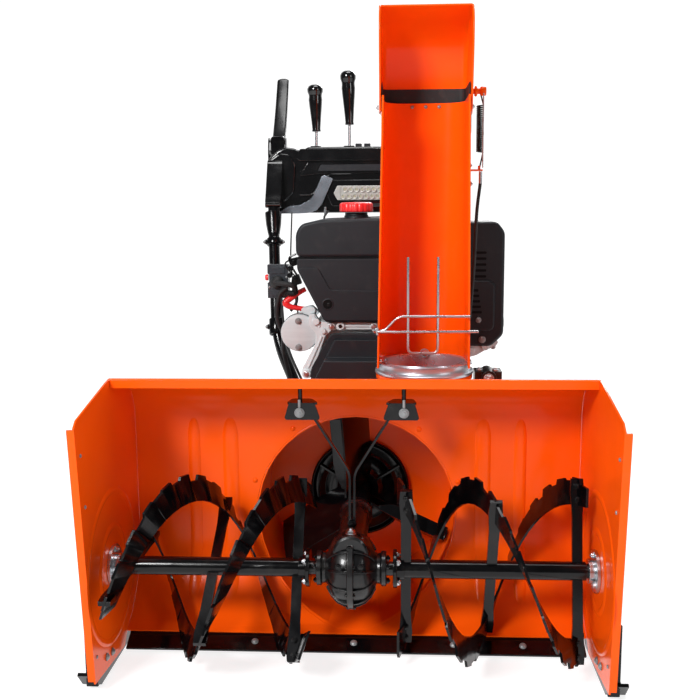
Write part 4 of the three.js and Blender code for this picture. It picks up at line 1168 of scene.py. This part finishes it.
def console():
    """The moulded dash: shell, end lobes, cowls, rear panel, brow, badge panel, creases, trim and clips."""
    plates("console_shell", GLOSS_PLASTIC, [
        ([(-252, 818), (-252, 940), (-244, 950), (-226, 966), (-206, 973), (-184, 970), (-176, 966),
          (-160, 966), (-150, 973), (210, 973), (232, 968), (262, 942), (262, 818), (244, 808), (110, 807),
          (-110, 807), (-232, 808)], 958, 1004, 7)],
        6, 4, 30, ["console"])
    lobe = [(-250, 826), (-250, 936), (-222, 958), (-196, 954), (-180, 930), (-186, 858), (-214, 832)]
    plates("console_ends", GLOSS_PLASTIC, [(face, 951, 962, 10) for face in (lobe, flipped(lobe))], 4, 4, 30)
    cowls = Shape()
    profile = [(891, 821), (888, 834), (900, 852), (946, 936), (960, 944), (962, 821)]
    for start, end in ((-252, -213), (215, 258)):
        side_plate(cowls, profile, start, end, 8)
    cowls.piece("console_cowls", CHASSIS, GLOSS_PLASTIC, 5, 4, 30)
    ribs = [(bar_face(-150, 160, 839 + 24 * k, 3), 1005, 1008, 2.6) for k in range(4)]
    plates("console_rear_panel", PLASTIC, [
        ([(-238, 820), (-238, 944), (-212, 960), (218, 960), (248, 944), (248, 820)], 1003, 1006, 12), *ribs],
        1.4, 3, 30)
    screws = Shape()
    for x in (-222, 5, 232):
        for z in (830, 946):
            screws.bolt(at(x, 1006, z), Y, 2.4, washer=False, dome=True)
    screws.piece("console_screws", CHASSIS, ZINC, 0.2)
    plates("console_brow", GLOSS_PLASTIC, [
        ([(-178, 944), (-170, 968), (186, 968), (194, 944), (186, 938), (-170, 938)], 949, 962, 6),
        ([(-172, 900), (-150, 934), (160, 934), (182, 900), (120, 906), (-108, 906)], 952, 962, 6)], 3, 3, 30)
    plates("console_badge_panel", PLASTIC, [
        ([(-124, 912), (-116, 928), (136, 928), (144, 912)], 950.6, 954, 3)], 0.8)
    plates("lamp_surround", GLOSS_PLASTIC, [
        ([(-104, 858), (-90, 890), (114, 890), (128, 858), (114, 824), (-90, 824)], 950.5, 960, 6)],
        2.4, 3, 30)
    creases = Shape()
    crease = [(-170, 852), (-138, 852), (-96, 904), (-40, 904)]
    for line in (crease, flipped(crease)):
        depths = (950.6, 949.4, 949.4, 949.4)
        bar(creases, [(x, y, z) for (x, z), y in zip(line, depths)], 12, 1.6)
    creases.piece("console_creases", CHASSIS, GLOSS_PLASTIC, 0, smooth=60)
    band = [(-230, 806), (-200, 824), (-166, 828), (-146, 838), (-136, 850), (-114, 898), (-108, 902),
            (-85, 893), (-88, 886), (-114, 830), (-128, 814), (-150, 807), (-175, 806)]
    plates("console_trim", SILVER_TRIM, [(face, 944.5, 958, 3) for face in (band, flipped(band))], 2.4, 3, 28)
    feet = [([(x - 3, 800), (x - 3, 822), (x + 3, 822), (x + 3, 800)], 949, 956, 1) for x in (-106, 116)]
    plates("console_clips", ZINC, feet, 0.5)


def lamp():
    """Two rows of eight-sided reflectors, each with its diode, on a pale base between two end plates."""
    plates("light_bar_base", LAMP_BACK, [
        ([(-84, 857), (-74, 875), (98, 875), (108, 857), (98, 839), (-74, 839)], 946, 950, 2)],
        0.8, stands_for=["light_bar"])
    outer, inner, mouth = 6.9, 2.4, 6.2
    section = ((outer, 0.2), (outer, 4.6), (inner, 4.6), (inner, 4.4), (mouth, 0.2))
    corners = [(math.cos(a), 1.12 * math.sin(a)) for a in (math.radians(22.5 + 45 * j) for j in range(8))]
    cups, diodes = Shape(), Shape()
    for row in (-1, 1):
        for k in range(11):
            x, z = -57 + 14.6 * k + 2.4 * row, 857 + 8.6 * row
            cups.rings([[at(x + size * a, 941.4 + depth, z + size * b) for a, b in corners]
                        for size, depth in section], loop=True)
            diodes.disc(at(x, 945.2, z), -Y, 2.2, 1.6, 12, 0.3)
    plate(cups, [(-82, 857), (-73, 874), (-66, 874), (-66, 840), (-73, 840)], 942, 947, 2)
    plate(cups, [(106, 857), (97, 874), (102, 868), (102, 846), (97, 840)], 942, 947, 1)
    cups.piece("light_bar_reflectors", CHASSIS, REFLECTOR, 0, smooth=30)
    diodes.piece("light_bar_diodes", CHASSIS, LED, 0)


def controls():
    """Handlebars, clutch paddles, dash, lamp, selector levers in their gates, and the control cables."""
    handlebars()
    clutch_levers()
    console()
    lamp()
    dress(PLASTIC, 1.2, "light_button", "heater_button")
    knobbed("speed_lever", "speed_selector", at(-130, 980, 946), at(-128.5, 980, 1012), at(-131, 980, 1128))
    knobbed("chute_lever", "chute_selector", at(-45, 980, 946), at(-44, 980, 1028), at(-47.5, 980, 1161))
    gates = Shape()
    for x in (-130, -45):
        level_plate(gates, [(x - 13, 962), (x + 13, 962), (x + 13, 998), (x - 13, 998)], 970, 975.4, 5)
    gates.piece("lever_gates", CHASSIS, BLACK_PLASTIC, 1)
    cables = Shape()
    bar(cables, [(-193, 965, 815), (-180, 830, 765), (-171, 720, 690), (-150, 700, 560)], 60, 1.8)
    bar(cables, [(-99, 965, 812), (-99, 830, 800), (-98, 812, 780), (-100, 812, 600)], 30, 2.6)
    for sign in (-1, 1):
        route = ((236, 1016, 946), (224, 940, 860), (216, 850, 700), (192, 760, 500), (140, 716, 400))
        bar(cables, [(sign * x, y, z) for x, y, z in route], 60, 3.2)
    route = [(-45, 990, 820), (60, 900, 830), (186, 840, 812), (206, 700, 640), (222, 450, 500)]
    bar(cables, route, 60, 4, 10)
    cables.piece("control_cables", CHASSIS, RUBBER, 0, smooth=60)


# ---- Wheels and transmission ----

def tread_block(hub, way, start):
    """One curved bar of the tread, from near the tyre's middle to its shoulder on one side."""
    shoulder = 0.6
    rings = []
    for i in range(7):
        t = i / 6
        past = max(0, t - shoulder)
        root, top = 193 - past * 24, 199.6 - past * 22
        turn, width = start + 0.16 * (1 - t), 0.045 + 0.018 * t
        across = way * (4 + 48 * t)
        section = ((-width, root), (-width * 0.8, top), (width * 0.8, top), (width, root))
        rings.append([hub + Vector((across, radius * math.cos(turn + a), radius * math.sin(turn + a))) * MM
                      for a, radius in section])
    return rings


def wheels():
    """Tyres with a barred tread on bolted rims, the axle and the transmission's case."""
    axle = PIVOT["wheel_spin"]
    dress(ZINC, 1, "axle")
    dress(BLACK_PAINT, 1.5, "transmission_case", smooth=30)
    half = [(101, 46), (108, 50), (128, 53), (150, 54), (170, 52), (184, 46), (191, 36), (194, 18)]
    section = [(r, -h) for r, h in half] + [(195, 0)] + half[::-1]
    bars = 22
    for side, sign in SIDES:
        dress(BRUSHED, 1.2, f"rim_{side}", smooth=30)
        hub = Vector((sign * 267 * MM, axle.y, axle.z))
        tyre = Shape().turned(hub, X, section, 72)
        tyre.piece(f"tyre_{side}_carcass", "wheels", TYRE, 0, smooth=50, stands_for=[f"tyre_{side}"])
        tread = Shape()
        for k in range(bars):
            for way, share in ((-1, 0), (1, 0.5)):
                tread.rings(tread_block(hub, way, math.tau * (k + share) / bars))
        tread.piece(f"tyre_{side}_treads", "wheels", TYRE, 0.9, 2, 30)
        nuts = Shape()
        face = (high(f"rim_{side}").x if sign > 0 else low(f"rim_{side}").x) - sign * 26 * MM
        for degrees in (45, 135, 225, 315):
            a = math.radians(degrees)
            nuts.bolt((face, axle.y + 34 * MM * math.cos(a), axle.z + 34 * MM * math.sin(a)), X * sign, 4)
        nuts.piece(f"wheel_{side}_nuts", "wheels", ZINC, 0.3)
    bolts = Shape()
    one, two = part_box("transmission_case")
    for x in (-100, -50, 0, 50, 100):
        bolts.bolt((x * MM, two.y, two.z - 20 * MM), Y, 4)
        bolts.bolt((x * MM, two.y, one.z + 16 * MM), Y, 4)
    bolts.piece("transmission_bolts", CHASSIS, ZINC, 0.3)


# ---- Studio ----

def backdrop():
    """Pale, slightly self-lit floor and back wall in one sweep, under a pale world that lights softly."""
    sweep = ((-6, 0), (-2, 0), (0.8, 0), (2.2, 0), (3.0, 0.12), (3.5, 0.5), (3.7, 1.2), (3.7, 5))
    rows = [[(x, y, z - 2 * MM) for x in (-6, -2, 0, 2, 6)] for y, z in sweep]
    floor = Shape().sheet(rows, 2)
    white = surface("studio_white", None, "A0A0A0", 0.8, clouds=0.0, gloss=0.1)
    shader = white.node_tree.nodes["Principled BSDF"]
    shader.inputs["Emission Color"].default_value = (1, 1, 1, 1)
    shader.inputs["Emission Strength"].default_value = 0.82
    floor.piece("studio_floor", None, white, 0, smooth=80)
    world = bpy.data.worlds.new("studio")
    bpy.context.scene.world = world
    world.use_nodes = True
    nodes, link = world.node_tree.nodes, world.node_tree.links.new
    background = nodes["Background"]
    background.inputs["Color"].default_value = (1, 1, 1, 1)
    strength = nodes.new("ShaderNodeMapRange")
    strength.inputs["To Min"].default_value = 0.12
    strength.inputs["To Max"].default_value = 1.0
    link(nodes.new("ShaderNodeLightPath").outputs["Is Camera Ray"], strength.inputs["Value"])
    link(strength.outputs["Result"], background.inputs["Strength"])


def lights():
    """Soft rectangular lamps: one key, and weaker ones from the right, above and behind."""
    for name, place, aim, width, height, power in (
            ("key", (-1.5, -2.9, 2.3), (0, -0.2, 0.6), 0.8, 0.8, 112),
            ("fill", (2.6, -2.3, 1.7), (0, -0.2, 0.5), 0.6, 1.2, 16),
            ("top", (0.1, -0.1, 3.6), (0, 0.1, 0.4), 1.6, 1.2, 48),
            ("back", (0.6, 2.5, 2.2), (0, 0.3, 0.7), 1.4, 1.0, 45)):
        data = bpy.data.lights.new(name, "AREA")
        data.shape = "RECTANGLE"
        data.size = width
        data.size_y = height
        data.energy = power
        light = bpy.data.objects.new(name, data)
        light.location = place
        light.rotation_euler = (Vector(aim) - Vector(place)).to_track_quat("-Z", "Y").to_euler()
        bpy.context.scene.collection.objects.link(light)


def camera():
    """The camera in front of the part, a little above it and turned slightly."""
    data = bpy.data.cameras.new("camera")
    data.lens = 48.857
    data.sensor_width = 36
    data.clip_start = 0.05
    made = bpy.data.objects.new("camera", data)
    pitch, yaw, roll = (math.radians(a) for a in (8.910, 3.134, -0.4148))
    forward = Vector((-math.sin(yaw) * math.cos(pitch), math.cos(yaw) * math.cos(pitch), -math.sin(pitch)))
    right = Vector((math.cos(yaw), math.sin(yaw), 0))
    up = right.cross(forward)
    across = right * math.cos(roll) + up * math.sin(roll)
    upward = up * math.cos(roll) - right * math.sin(roll)
    place = Matrix.Translation((0.0884, -2.1149, 0.8365))
    made.matrix_world = place @ Matrix((across, upward, -forward)).transposed().to_4x4()
    bpy.context.scene.collection.objects.link(made)
    bpy.context.scene.camera = made
    bpy.context.scene.view_settings.view_transform = "Standard"
    bpy.context.scene.view_settings.look = "None"


augers()
gearbox()
impeller()
housing()
chute()
deflector()
chute_drive()
shroud()
castings()
starter()
muffler()
recoil()
controls()
wheels()
backdrop()
lights()
camera()
